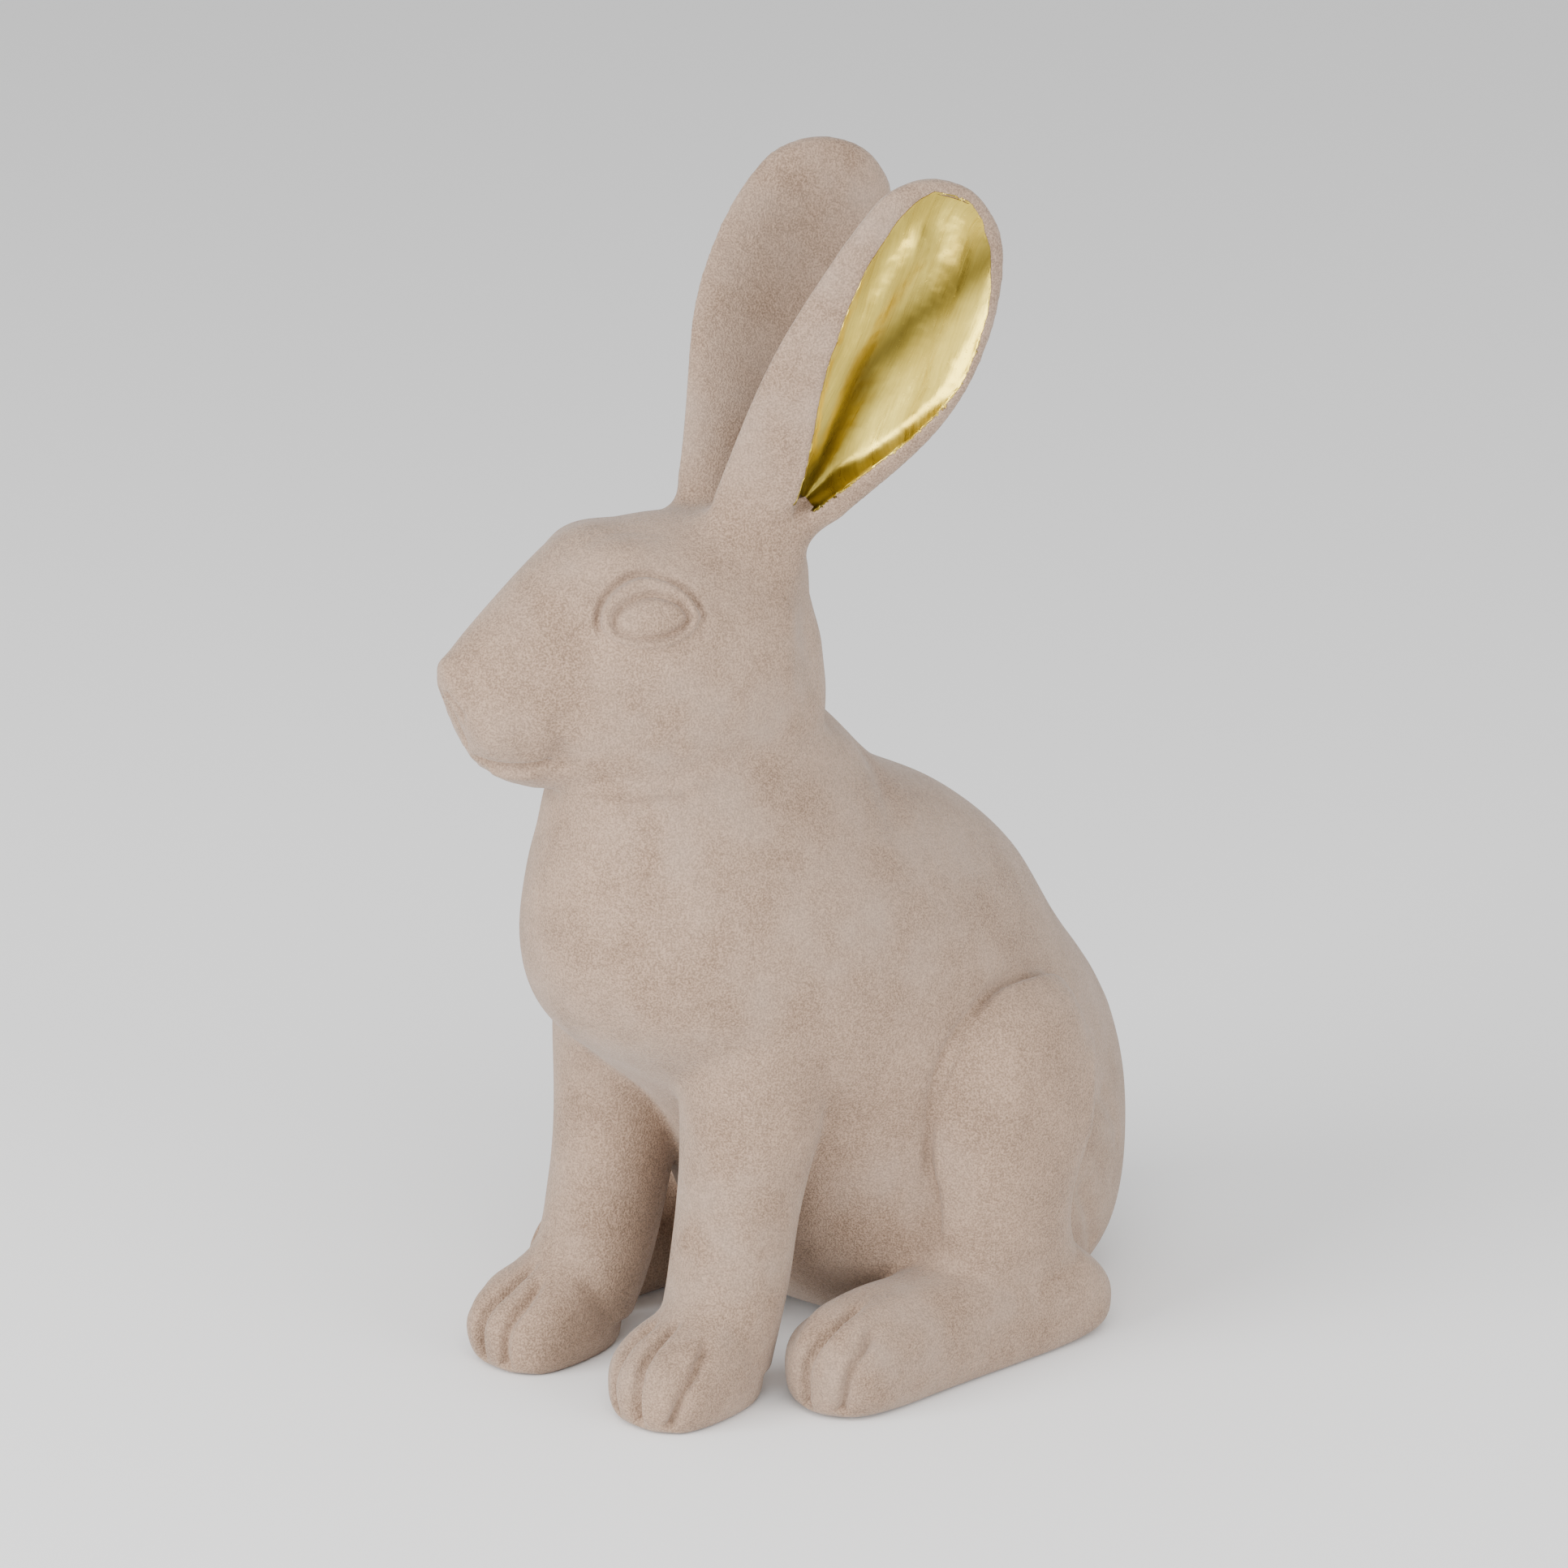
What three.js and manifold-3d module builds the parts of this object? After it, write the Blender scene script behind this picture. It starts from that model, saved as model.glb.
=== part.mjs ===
// Sitting hare ornament: hollow resin castings glued up on pins, with gilded linings in the ears.
// Millimetres, +Z up. The hare faces -Y, its left side is +X and it stands on z = 0.
import * as THREE from "three";
import { mergeVertices } from "three/addons/utils/BufferGeometryUtils.js";
import Module from "manifold-3d";

const wasm = await Module();
wasm.setup();

// Joints, walls and fixings
const GLUE_GAP = 0.3;
const TORSO_WALL = 7;
const PAD_THICKNESS = 1.4;
const PAD_RECESS = 1.2;
const NECK_DOWEL = { diameter: 10, length: 36 };
const LIMB_DOWEL = { diameter: 7, length: 24 };
const TAIL_PEG = { diameter: 4, length: 14 };
const EAR_PIN = { diameter: 3, length: 26 };
const VENT = { diameter: 20, seatDiameter: 28, seatDepth: 2.4, plugLength: 9, back: 70 };

// Torso
const TORSO_FLOOR = 4;
const CAVITY_TOP = 120;
const NECK = { height: 153.4, tilt: 0.153, tiltRun: 34, width: 27.5, front: -36, back: 34 };

// Head, which turns to the hare's right on the neck
const HEAD_TURN = THREE.MathUtils.degToRad(-18);
const HEAD_PIVOT = new THREE.Vector3(0, -2, 0);

// Ears
const EAR_SEAT = { side: 10.2, back: 12.6, sink: 5 };
const EAR_LEAN = THREE.MathUtils.degToRad(21);
const EAR_SPLAY = THREE.MathUtils.degToRad(12);
const EAR_LENGTH = 95.5;
const EAR_ROOT = 9;
const EAR_PIN_INSET = 4;
const EAR_WALL = 2.8;
const EAR_SIDES = 18;
const SCOOP_START = 5;
const SCOOP_TIP_RIM = 1.6;
const SCOOP_RINGS = 13;
const SCOOP_SIDES = 16;
const SCOOP_END_SHARE = 0.05;
const SCOOP_POINT = 0.9;
const SCOOP_BROAD = 0.32;
const SCOOP_SHALLOW = 0.35;
const SCOOP_ROUNDNESS = 1.55;
const SCOOP_LEAN = 0.25;
const LEAF_THICKNESS = 0.5;

// Legs
const FORELEG = { side: 22.5, top: 104, dowelPlace: -1, dowelHeight: 68, dowelLean: 0.16 };
const PAW = {
  side: 25.2,
  heel: -5.4,
  length: 37.5,
  grooves: [30, 90, 120],
  padCentre: 19,
  padWidth: 14,
  padLength: 22,
};
const HIND_LEG = { side: 41, top: 93, dowelPlace: 60, dowelHeight: 58, dowelInset: 4 };
const HIND_FOOT = {
  side: 47.9,
  heel: 88,
  length: 95.5,
  grooves: [45, 90, 135],
  padCentre: 46,
  padWidth: 11,
  padLength: 68,
};
const TOE_GROOVE = { depth: 0.14, spread: 10 };

// Tail, a flattened bud that leans in towards its tip
const TAIL = { height: 50, back: 139, width: 11, length: 17, reach: 12, lean: 4, pegDepth: 12 };

// Roundness of the sections: 2 is an ellipse, and more is squarer
const OVAL = 2;
const FOOT_ROUNDNESS = 2.3;
const SOLE_ROUNDNESS = 2.8;
const FOOT_WAIST = 0.46;
const SOLE_SINK = 2.5;
const LIMB_ROUNDNESS = 2.1;
const THIGH_ROUNDNESS = 2.4;

// How finely the castings are cut
const TORSO_SIDES = 28;
const HOLLOW_SIDES = 14;
const HEAD_SIDES = 26;
const FOOT_SIDES = 24;
const FORELEG_SIDES = 18;
const THIGH_SIDES = 20;
const TAIL_SIDES = 18;
const PIN_SIDES = 14;
const VENT_SIDES = 20;
const PAD_SEGMENTS = 10;

// The sole stands this high, with the pad set into it.
const SOLE = PAD_THICKNESS + GLUE_GAP - PAD_RECESS;

const COAT = { color: 0xbeac9e, roughness: 0.95, metalness: 0 };
const GOLD_LEAF = { color: 0xd8b45a, roughness: 0.3, metalness: 1 };
const STEEL = { color: 0x9a9c9e, roughness: 0.35, metalness: 1 };
const BEECH = { color: 0xc9a878, roughness: 0.7, metalness: 0 };
const FELT = { color: 0x8b8078, roughness: 1, metalness: 0 };
const RUBBER = { color: 0x4a4745, roughness: 0.8, metalness: 0 };

// The sizes at one place along a list of stations, on a smooth curve through every station.
function stationAt(stations, lead, place) {
  const last = stations.length - 1;
  const found = stations.findIndex((station, i) => i < last && place <= stations[i + 1][lead]);
  const i = found < 0 ? last - 1 : found;
  const span = stations[i + 1][lead] - stations[i][lead];
  const t = (place - stations[i][lead]) / span;
  const slope = (k, key) => {
    const [before, after] = [stations[Math.max(k - 1, 0)], stations[Math.min(k + 1, last)]];
    return (after[key] - before[key]) / (after[lead] - before[lead]);
  };
  const station = {};
  for (const key of Object.keys(stations[i])) {
    const blend = 3 * t ** 2 - 2 * t ** 3;
    const bend = slope(i, key) * (t ** 3 - 2 * t ** 2 + t) + slope(i + 1, key) * (t ** 3 - t ** 2);
    station[key] = THREE.MathUtils.lerp(stations[i][key], stations[i + 1][key], blend) + span * bend;
  }
  return station;
}

// The given stations with others between them, each span cut in the same number of steps.
function fair(stations, lead, steps) {
  const places = stations.slice(1).flatMap((next, i) => {
    const from = stations[i][lead];
    return Array.from({ length: steps }, (_, step) => from + ((next[lead] - from) * step) / steps);
  });
  return [...places, stations.at(-1)[lead]].map((place) => stationAt(stations, lead, place));
}

// A point on a rounded section, at an angle from its side: x and y run from -1 to 1.
function sectionPoint(angle, roundness = OVAL) {
  const rounded = (value) => Math.sign(value) * Math.abs(value) ** (2 / roundness);
  return { x: rounded(Math.cos(angle)), y: rounded(Math.sin(angle)) };
}

// A list of points round a section, made by a function of the angle.
function ring(sides, pointAt) {
  return Array.from({ length: sides }, (_, i) => pointAt((i / sides) * Math.PI * 2));
}

// The middle of a ring of points.
function middle(points) {
  return points.reduce((sum, point) => sum.add(point), new THREE.Vector3()).divideScalar(points.length);
}

// Faces turned so that they point out of the body.
function outward(geometry) {
  const position = geometry.getAttribute("position");
  const index = geometry.index.array;
  const [a, b, c] = [new THREE.Vector3(), new THREE.Vector3(), new THREE.Vector3()];
  let volume = 0;
  for (let i = 0; i < index.length; i += 3) {
    a.fromBufferAttribute(position, index[i]);
    b.fromBufferAttribute(position, index[i + 1]);
    c.fromBufferAttribute(position, index[i + 2]);
    volume += a.dot(b.cross(c));
  }
  if (volume < 0) {
    for (let i = 0; i < index.length; i += 3) {
      [index[i + 1], index[i + 2]] = [index[i + 2], index[i + 1]];
    }
  }
  return geometry;
}

// A closed skin through rings of points, with a point in the middle of each end.
function skin(rings) {
  const sides = rings[0].length;
  const points = [...rings.flat(), middle(rings[0]), middle(rings.at(-1))];
  const index = [];
  for (let r = 0; r + 1 < rings.length; r++) {
    for (let s = 0; s < sides; s++) {
      const [here, next] = [r * sides + s, r * sides + ((s + 1) % sides)];
      index.push(here, next, next + sides, here, next + sides, here + sides);
    }
  }
  const lastRing = (rings.length - 1) * sides;
  for (let s = 0; s < sides; s++) {
    const next = (s + 1) % sides;
    index.push(next, s, points.length - 2);
    index.push(lastRing + s, lastRing + next, points.length - 1);
  }
  const geometry = new THREE.BufferGeometry().setFromPoints(points);
  geometry.setIndex(index);
  return outward(geometry);
}

// A geometry as a solid that can be joined and cut.
function solid(geometry) {
  const bare = geometry.clone();
  bare.deleteAttribute("normal");
  bare.deleteAttribute("uv");
  const merged = outward(mergeVertices(bare, 1e-4));
  return new wasm.Manifold(new wasm.Mesh({
    numProp: 3,
    vertProperties: new Float32Array(merged.getAttribute("position").array),
    triVerts: new Uint32Array(merged.index.array),
  }));
}

// A solid as a geometry again.
function geometryOf(body) {
  const { vertProperties, triVerts } = body.getMesh();
  const geometry = new THREE.BufferGeometry();
  geometry.setAttribute("position", new THREE.BufferAttribute(vertProperties, 3));
  geometry.setIndex(new THREE.BufferAttribute(triVerts, 1));
  return geometry;
}

// The other side's copy of a geometry.
function mirrored(geometry) {
  return outward(geometry.clone().scale(-1, 1, 1));
}

// A named mesh with its finish, from a geometry or a solid.
function piece(name, shape, finish) {
  const geometry = shape.isBufferGeometry ? shape : geometryOf(shape);
  geometry.computeVertexNormals();
  const mesh = new THREE.Mesh(geometry, new THREE.MeshStandardMaterial(finish));
  mesh.name = name;
  return mesh;
}

// A round pin or the bore for it, centred at a point and laid along a direction.
class Pin {
  constructor({ diameter, length }, centre, direction) {
    this.diameter = diameter;
    this.length = length;
    this.centre = centre;
    const upright = new THREE.Vector3(0, 1, 0);
    this.turn = new THREE.Quaternion().setFromUnitVectors(upright, direction.clone().normalize());
  }

  // The pin itself, as a placed mesh.
  mesh(name, finish) {
    const [radius, length] = [this.diameter / 2, this.length];
    const pin = piece(name, new THREE.CylinderGeometry(radius, radius, length, PIN_SIDES), finish);
    pin.position.copy(this.centre);
    pin.quaternion.copy(this.turn);
    return pin;
  }

  // The bore that the pin is glued into, with the glue gap all round.
  bore() {
    const radius = this.diameter / 2 + GLUE_GAP;
    const geometry = new THREE.CylinderGeometry(radius, radius, this.length + 2 * GLUE_GAP, PIN_SIDES);
    return solid(geometry.applyQuaternion(this.turn).translate(...this.centre));
  }

  // The same pin on the other side.
  mirrored() {
    const [x, y, z] = new THREE.Vector3(0, 1, 0).applyQuaternion(this.turn);
    const centre = this.centre.clone().setX(-this.centre.x);
    return new Pin(this, centre, new THREE.Vector3(-x, y, z));
  }
}

// Torso sections from the floor up: y of the breast, of the widest place and of the back, and the half width.
const TORSO_SECTIONS = [
  { z: TORSO_FLOOR, front: 38, middle: 72, back: 111, width: 37 },
  { z: 9, front: 27.5, middle: 70, back: 122, width: 43.5 },
  { z: 20, front: 16.5, middle: 67, back: 129, width: 48 },
  { z: 35, front: 9, middle: 63, back: 131.5, width: 50 },
  { z: 52, front: 1, middle: 59, back: 131, width: 50.5 },
  { z: 67, front: -9, middle: 54, back: 126.5, width: 50.5 },
  { z: 79, front: -23, middle: 47, back: 120, width: 50.5 },
  { z: 88, front: -34.5, middle: 41, back: 112.5, width: 50 },
  { z: 98, front: -41, middle: 34, back: 105, width: 49 },
  { z: 110, front: -43.3, middle: 27, back: 98, width: 46.5 },
  { z: 121, front: -42, middle: 19, back: 88, width: 42.5 },
  { z: 130, front: -40.5, middle: 11, back: 72, width: 38 },
  { z: 137, front: -39, middle: 5, back: 52.5, width: 34 },
  { z: 145, front: -37.5, middle: 0, back: 43.5, width: 31 },
  { z: NECK.height, front: NECK.front, middle: -2, back: NECK.back, width: NECK.width },
];

// A torso section as a ring, drawn in by an amount. Near the neck it tilts with the neck joint.
function torsoRing(section, drawnIn, sides) {
  const tiltShare = THREE.MathUtils.smoothstep(section.z, NECK.height - NECK.tiltRun, NECK.height);
  return ring(sides, (angle) => {
    const { x, y } = sectionPoint(angle);
    const reach = y > 0 ? section.back - section.middle : section.middle - section.front;
    const depth = section.middle + y * (reach - drawnIn);
    const lift = NECK.tilt * tiltShare * (depth - HEAD_PIVOT.y);
    return new THREE.Vector3(x * (section.width - drawnIn), depth, section.z + lift);
  });
}

// The outside of the torso, swollen by an amount to cut what is glued to it.
function torsoSkin(swell = 0) {
  return solid(skin(fair(TORSO_SECTIONS, "z", 2).map((section) => torsoRing(section, -swell, TORSO_SIDES))));
}

// The hollow of the torso, from the floor's wall to below the shoulders.
function torsoHollow() {
  const bottom = TORSO_FLOOR + TORSO_WALL;
  const inside = fair(TORSO_SECTIONS, "z", 1).filter(({ z }) => z > bottom + 2 && z < CAVITY_TOP);
  const ends = [{ ...inside[0], z: bottom }, ...inside, { ...inside.at(-1), z: CAVITY_TOP }];
  const trim = (section, i) => TORSO_WALL + (i === 0 || i === ends.length - 1 ? TORSO_WALL : 0);
  return solid(skin(ends.map((section, i) => torsoRing(section, trim(section, i), HOLLOW_SIDES))));
}

// Head sections from the nape to the nose: height of crown, widest place and jaw, and the half width.
const HEAD_SECTIONS = [
  { forward: -33.2, top: 175, middle: 165, bottom: 148, width: 4 },
  { forward: -31.6, top: 187, middle: 167, bottom: 138, width: 10 },
  { forward: -28, top: 197, middle: 169, bottom: 130, width: 16 },
  { forward: -22, top: 203, middle: 171, bottom: 128, width: 21.5 },
  { forward: -12, top: 207.6, middle: 174, bottom: 128, width: 26 },
  { forward: 2, top: 209.6, middle: 176, bottom: 128, width: 27.5 },
  { forward: 16, top: 208.8, middle: 178, bottom: 131, width: 26 },
  { forward: 26, top: 208.4, middle: 178, bottom: 139, width: 22.5 },
  { forward: 35, top: 202.8, middle: 175, bottom: 146.5, width: 18 },
  { forward: 44, top: 195, middle: 172, bottom: 149.5, width: 14.5 },
  { forward: 52, top: 187.5, middle: 170.5, bottom: 155, width: 11.5 },
  { forward: 57.5, top: 182, middle: 172, bottom: 162, width: 7.5 },
  { forward: 60.2, top: 179.5, middle: 175, bottom: 170, width: 3.5 },
];

// A body in the head's own frame, turned onto the neck.
function onNeck(geometry) {
  return geometry.clone().rotateZ(HEAD_TURN).translate(...HEAD_PIVOT);
}

// The outside of the head in its own frame, swollen by an amount to cut what is glued to it.
function headSkin(swell = 0) {
  const rings = fair(HEAD_SECTIONS, "forward", 2).map((section) => ring(HEAD_SIDES, (angle) => {
    const { x, y } = sectionPoint(angle);
    const reach = y > 0 ? section.top - section.middle : section.middle - section.bottom;
    const z = section.middle + y * (reach + swell);
    return new THREE.Vector3(x * (section.width + swell), -section.forward, z);
  }));
  return skin(rings);
}

// Everything below the neck joint, as a block that trims the head.
function belowNeckJoint() {
  const size = 160;
  const block = new THREE.BoxGeometry(size, size, size).translate(0, 0, -size / 2);
  return solid(block.rotateX(Math.atan(NECK.tilt)).translate(0, HEAD_PIVOT.y, NECK.height + GLUE_GAP));
}

// Ear sections along the ear: half width, how far back and out the middle lies, and the turn in degrees. The
// round side and the scooped face stand out from the middle, and front and rear rims are left beside the scoop.
const EAR_SECTIONS = [
  { share: -EAR_ROOT / EAR_LENGTH, width: 11, back: 0, out: 0, turn: -12, thick: 8, face: 6, front: 12, rear: 5 },
  { share: 0, width: 12, back: 0, out: 0, turn: -12, thick: 8.4, face: 6, front: 13, rear: 5.5 },
  { share: 0.17, width: 15.5, back: 1.8, out: 1.6, turn: -11, thick: 8.6, face: 4.4, front: 15.5, rear: 6.4 },
  { share: 0.34, width: 20, back: 4.3, out: 4.2, turn: -10, thick: 8.8, face: 3.6, front: 14, rear: 6 },
  { share: 0.5, width: 22.6, back: 5.8, out: 6.6, turn: -8, thick: 8.4, face: 3.2, front: 11, rear: 4.4 },
  { share: 0.66, width: 22.4, back: 7.2, out: 6.6, turn: -5, thick: 7.6, face: 3, front: 8.4, rear: 3 },
  { share: 0.81, width: 20.2, back: 8.4, out: 4.4, turn: -1, thick: 6.4, face: 2.6, front: 7.2, rear: 3.2 },
  { share: 0.92, width: 16.2, back: 9.2, out: 1, turn: 3, thick: 5, face: 2.2, front: 5.2, rear: 3.2 },
  { share: 0.98, width: 9.2, back: 8.8, out: -0.6, turn: 4, thick: 3.2, face: 1.8, front: 3, rear: 2 },
  { share: 1, width: 2.8, back: 8.6, out: -1, turn: 4, thick: 1.4, face: 1, front: 1.4, rear: 1.2 },
].map(({ share, ...section }) => ({ along: share * EAR_LENGTH, ...section }));

// The left ear's own frame in the head's frame: z runs along the ear, x out of the scoop, y to the back.
const crown = stationAt(HEAD_SECTIONS, "forward", -EAR_SEAT.back).top;
const EAR_PLACE = new THREE.Matrix4()
  .makeTranslation(EAR_SEAT.side, EAR_SEAT.back, crown - EAR_SEAT.sink)
  .multiply(new THREE.Matrix4().makeRotationX(-EAR_LEAN))
  .multiply(new THREE.Matrix4().makeRotationY(EAR_SPLAY));

// A point of the left ear beside the middle of a section: towards its back edge and out of its scoop.
function earPoint({ along, back, out, turn }, across, depth) {
  const angle = THREE.MathUtils.degToRad(turn);
  const point = new THREE.Vector3(depth, across, 0).applyAxisAngle(new THREE.Vector3(0, 0, 1), angle);
  return point.add(new THREE.Vector3(out, back, along)).applyMatrix4(EAR_PLACE);
}

// The ear without its scoop: a leaf with a rounded inner side and a flatter outer one.
function earBlank() {
  return skin(fair(EAR_SECTIONS, "along", 2).map((section) => ring(EAR_SIDES, (angle) => {
    const { x, y } = sectionPoint(angle);
    return earPoint(section, x * section.width, y * (y > 0 ? section.face : section.thick));
  })));
}

// The scoop of the ear, drawn in by an amount: a dish between the rims, pointed below and broad above. Its
// deepest line leans towards the rear rim.
function earScoop(drawnIn = 0) {
  const [start, end] = [SCOOP_START + drawnIn, EAR_LENGTH - SCOOP_TIP_RIM - drawnIn];
  const rings = Array.from({ length: SCOOP_RINGS }, (_, i) => {
    const turn = Math.PI * THREE.MathUtils.lerp(SCOOP_END_SHARE, 1 - SCOOP_END_SHARE, i / (SCOOP_RINGS - 1));
    const along = THREE.MathUtils.lerp(start, end, (1 - Math.cos(turn)) / 2);
    const section = stationAt(EAR_SECTIONS, "along", along);
    const fill = Math.sin(turn) ** (turn < Math.PI / 2 ? SCOOP_POINT : SCOOP_BROAD);
    const [from, to] = [section.front - section.width, section.width - section.rear];
    const [centre, half] = [(from + to) / 2, ((to - from) / 2 - drawnIn) * fill];
    const depth = (section.thick + section.face - EAR_WALL) * THREE.MathUtils.lerp(SCOOP_SHALLOW, 1, fill);
    return ring(SCOOP_SIDES, (angle) => {
      const { x, y } = sectionPoint(angle, SCOOP_ROUNDNESS);
      const leaning = x + SCOOP_LEAN * (1 - x ** 2);
      return earPoint(section, centre + leaning * half, section.face + y * (depth - drawnIn));
    });
  });
  return skin(rings);
}

// One foreleg's shaft from inside the paw up to the shoulder: place of its axis and its half sizes.
const FORELEG_SECTIONS = [
  { z: 8, side: FORELEG.side + 2, y: -13.4, width: 11.5, depth: 11.5 },
  { z: 18, side: FORELEG.side + 1, y: -12.4, width: 14, depth: 13.5 },
  { z: 30, side: FORELEG.side + 0.5, y: -9.2, width: 14, depth: 14.6 },
  { z: 42, side: FORELEG.side, y: -6.5, width: 14, depth: 14.6 },
  { z: 56, side: FORELEG.side, y: -3.5, width: 15, depth: 15.6 },
  { z: 70, side: FORELEG.side, y: -1, width: 16.8, depth: 17.5 },
  { z: 84, side: FORELEG.side, y: 1, width: 18, depth: 19.5 },
  { z: 96, side: FORELEG.side - 1, y: 4, width: 17, depth: 19 },
  { z: FORELEG.top, side: FORELEG.side - 3, y: 8, width: 12, depth: 12 },
];

// Paw sections from heel to toe as shares of its length: half width, height, and lift off the ground.
const PAW_SECTIONS = [
  { share: 0, width: 4.6, height: 10, lift: 3 },
  { share: 0.08, width: 8.4, height: 17, lift: 1 },
  { share: 0.25, width: 12, height: 23.5, lift: 0 },
  { share: 0.45, width: 14.2, height: 25, lift: 0 },
  { share: 0.65, width: 14.8, height: 23, lift: 0 },
  { share: 0.82, width: 13.6, height: 19.6, lift: 0.5 },
  { share: 0.94, width: 9.8, height: 15.5, lift: 2.5 },
  { share: 1, width: 4.4, height: 10.5, lift: 5.5 },
];

const HIND_FOOT_SECTIONS = [
  { share: 0, width: 6, height: 12, lift: 5 },
  { share: 0.04, width: 10.4, height: 18, lift: 2.5 },
  { share: 0.12, width: 12.8, height: 23.5, lift: 0.5 },
  { share: 0.3, width: 13.2, height: 26, lift: 0 },
  { share: 0.5, width: 13.2, height: 26, lift: 0 },
  { share: 0.7, width: 14, height: 26.6, lift: 0 },
  { share: 0.86, width: 14.8, height: 25.4, lift: 0 },
  { share: 0.94, width: 13.4, height: 22, lift: 1.5 },
  { share: 0.985, width: 9, height: 16.5, lift: 4 },
  { share: 1, width: 4.4, height: 12, lift: 6.5 },
];

// How much the toe grooves take from a foot, at an angle round it and a share of the way along it.
function toeGroove(angle, share, grooves) {
  const strength = THREE.MathUtils.smoothstep(share, 0.5, 0.85);
  const away = grooves.map((groove) => THREE.MathUtils.radToDeg(angle) - groove);
  const nearest = Math.min(...away.map(Math.abs));
  return TOE_GROOVE.depth * strength * Math.exp(-((nearest / TOE_GROOVE.spread) ** 2));
}

// A foot lofted from heel to toe. Its sole is cut flat above the pad and its front is parted in toes.
function foot({ side, heel, length, grooves }, sections, steps) {
  const stations = fair(sections, "share", steps);
  const rings = stations.map(({ share, width, height, lift }) => ring(FOOT_SIDES, (angle) => {
    const { x, y } = sectionPoint(angle, angle < Math.PI ? FOOT_ROUNDNESS : SOLE_ROUNDNESS);
    const carved = 1 - toeGroove(angle, share, grooves);
    const waist = THREE.MathUtils.lerp(lift, height, FOOT_WAIST);
    const z = waist + y * carved * (y > 0 ? height - waist : waist + SOLE_SINK - lift);
    return new THREE.Vector3(x * carved * width, -share * length, Math.max(z, SOLE));
  }));
  return skin(rings).translate(side, heel, 0);
}

// A shaft lofted through level oval sections.
function shaft(sections, sides, roundness) {
  return skin(fair(sections, "z", 2).map(({ z, side, y, width, depth }) => ring(sides, (angle) => {
    const point = sectionPoint(angle, roundness);
    return new THREE.Vector3(side + point.x * width, y + point.y * depth, z);
  })));
}

// The hock and thigh, from inside the foot up to the top of the thigh.
const THIGH_SECTIONS = [
  { z: 7, side: HIND_LEG.side + 6.5, y: 62, width: 8, depth: 18 },
  { z: 16, side: HIND_LEG.side + 5, y: 60, width: 12.5, depth: 21 },
  { z: 28, side: HIND_LEG.side + 2, y: 56.5, width: 17.5, depth: 20.5 },
  { z: 40, side: HIND_LEG.side + 0.5, y: 56, width: 20.3, depth: 21.5 },
  { z: 52, side: HIND_LEG.side, y: 58.5, width: 21.5, depth: 24.6 },
  { z: 64, side: HIND_LEG.side, y: 60, width: 21.5, depth: 25.6 },
  { z: 76, side: HIND_LEG.side, y: 60, width: 20.5, depth: 23 },
  { z: 86, side: HIND_LEG.side, y: 60.5, width: 17.5, depth: 18 },
  { z: 91, side: HIND_LEG.side, y: 61, width: 12, depth: 12 },
  { z: HIND_LEG.top, side: HIND_LEG.side, y: 61, width: 6, depth: 6 },
];

// A felt pad under a foot, or the recess for it with the glue gap all round.
function pad({ side, heel, padCentre, padWidth, padLength }, gap = 0) {
  const [across, along] = [padWidth / 2 + gap, padLength / 2 + gap];
  const outline = new THREE.Shape().absellipse(side, heel - padCentre, across, along, 0, Math.PI * 2);
  const options = { depth: PAD_THICKNESS + gap, bevelEnabled: false, curveSegments: PAD_SEGMENTS };
  return new THREE.ExtrudeGeometry(outline, options);
}

// The scut, a flattened bud against the rump.
function tailBud() {
  const sections = [-1, -0.9, -0.6, -0.2, 0.2, 0.6, 0.9, 1];
  return skin(sections.map((share) => ring(TAIL_SIDES, (angle) => {
    const { x, y } = sectionPoint(angle);
    const fullness = Math.sqrt(Math.max(1 - share ** 2, 0.03));
    const lean = TAIL.lean * (share + 1) / 2;
    return new THREE.Vector3(
      x * TAIL.width * fullness,
      TAIL.back - lean - TAIL.reach * (1 - y * fullness),
      TAIL.height + share * TAIL.length,
    );
  })));
}

// The plug that closes the vent: a stem in the bore and a head in the seat under the torso.
function ventProfile(clearance, above) {
  const [stem, seat] = [VENT.diameter / 2 - clearance, VENT.seatDiameter / 2 - clearance];
  const [bottom, shoulder] = [TORSO_FLOOR, TORSO_FLOOR + VENT.seatDepth - clearance];
  return [[0, bottom], [seat, bottom], [seat, shoulder], [stem, shoulder], [stem, above], [0, above]];
}

function turned(profile) {
  const points = profile.map(([radius, z]) => new THREE.Vector2(radius, z));
  return new THREE.LatheGeometry(points, VENT_SIDES).rotateX(Math.PI / 2);
}

// The vent's middle under the torso.
const VENT_PLACE = new THREE.Vector3(0, VENT.back, 0);

// Where each pin lies, with half of it in each of the two castings that it joins.
const neckPlace = new THREE.Vector3(0, HEAD_PIVOT.y, NECK.height);
const neckDowel = new Pin(NECK_DOWEL, neckPlace, new THREE.Vector3(0, -NECK.tilt, 1));
const forelegPlace = new THREE.Vector3(FORELEG.side, FORELEG.dowelPlace, FORELEG.dowelHeight);
const leftForelegDowel = new Pin(LIMB_DOWEL, forelegPlace, new THREE.Vector3(0, FORELEG.dowelLean, 1));
const hindPlace = new THREE.Vector3(
  HIND_LEG.side + HIND_LEG.dowelInset,
  HIND_LEG.dowelPlace,
  HIND_LEG.dowelHeight,
);
const leftHindDowel = new Pin(LIMB_DOWEL, hindPlace, new THREE.Vector3(1, 0, 0));
const tailPlace = new THREE.Vector3(0, TAIL.back - TAIL.pegDepth, TAIL.height);
const tailPeg = new Pin(TAIL_PEG, tailPlace, new THREE.Vector3(0, 1, 0));
const earRoot = stationAt(EAR_SECTIONS, "along", 0);
const earPinPlace = earPoint(earRoot, 0, -EAR_PIN_INSET);
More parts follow.
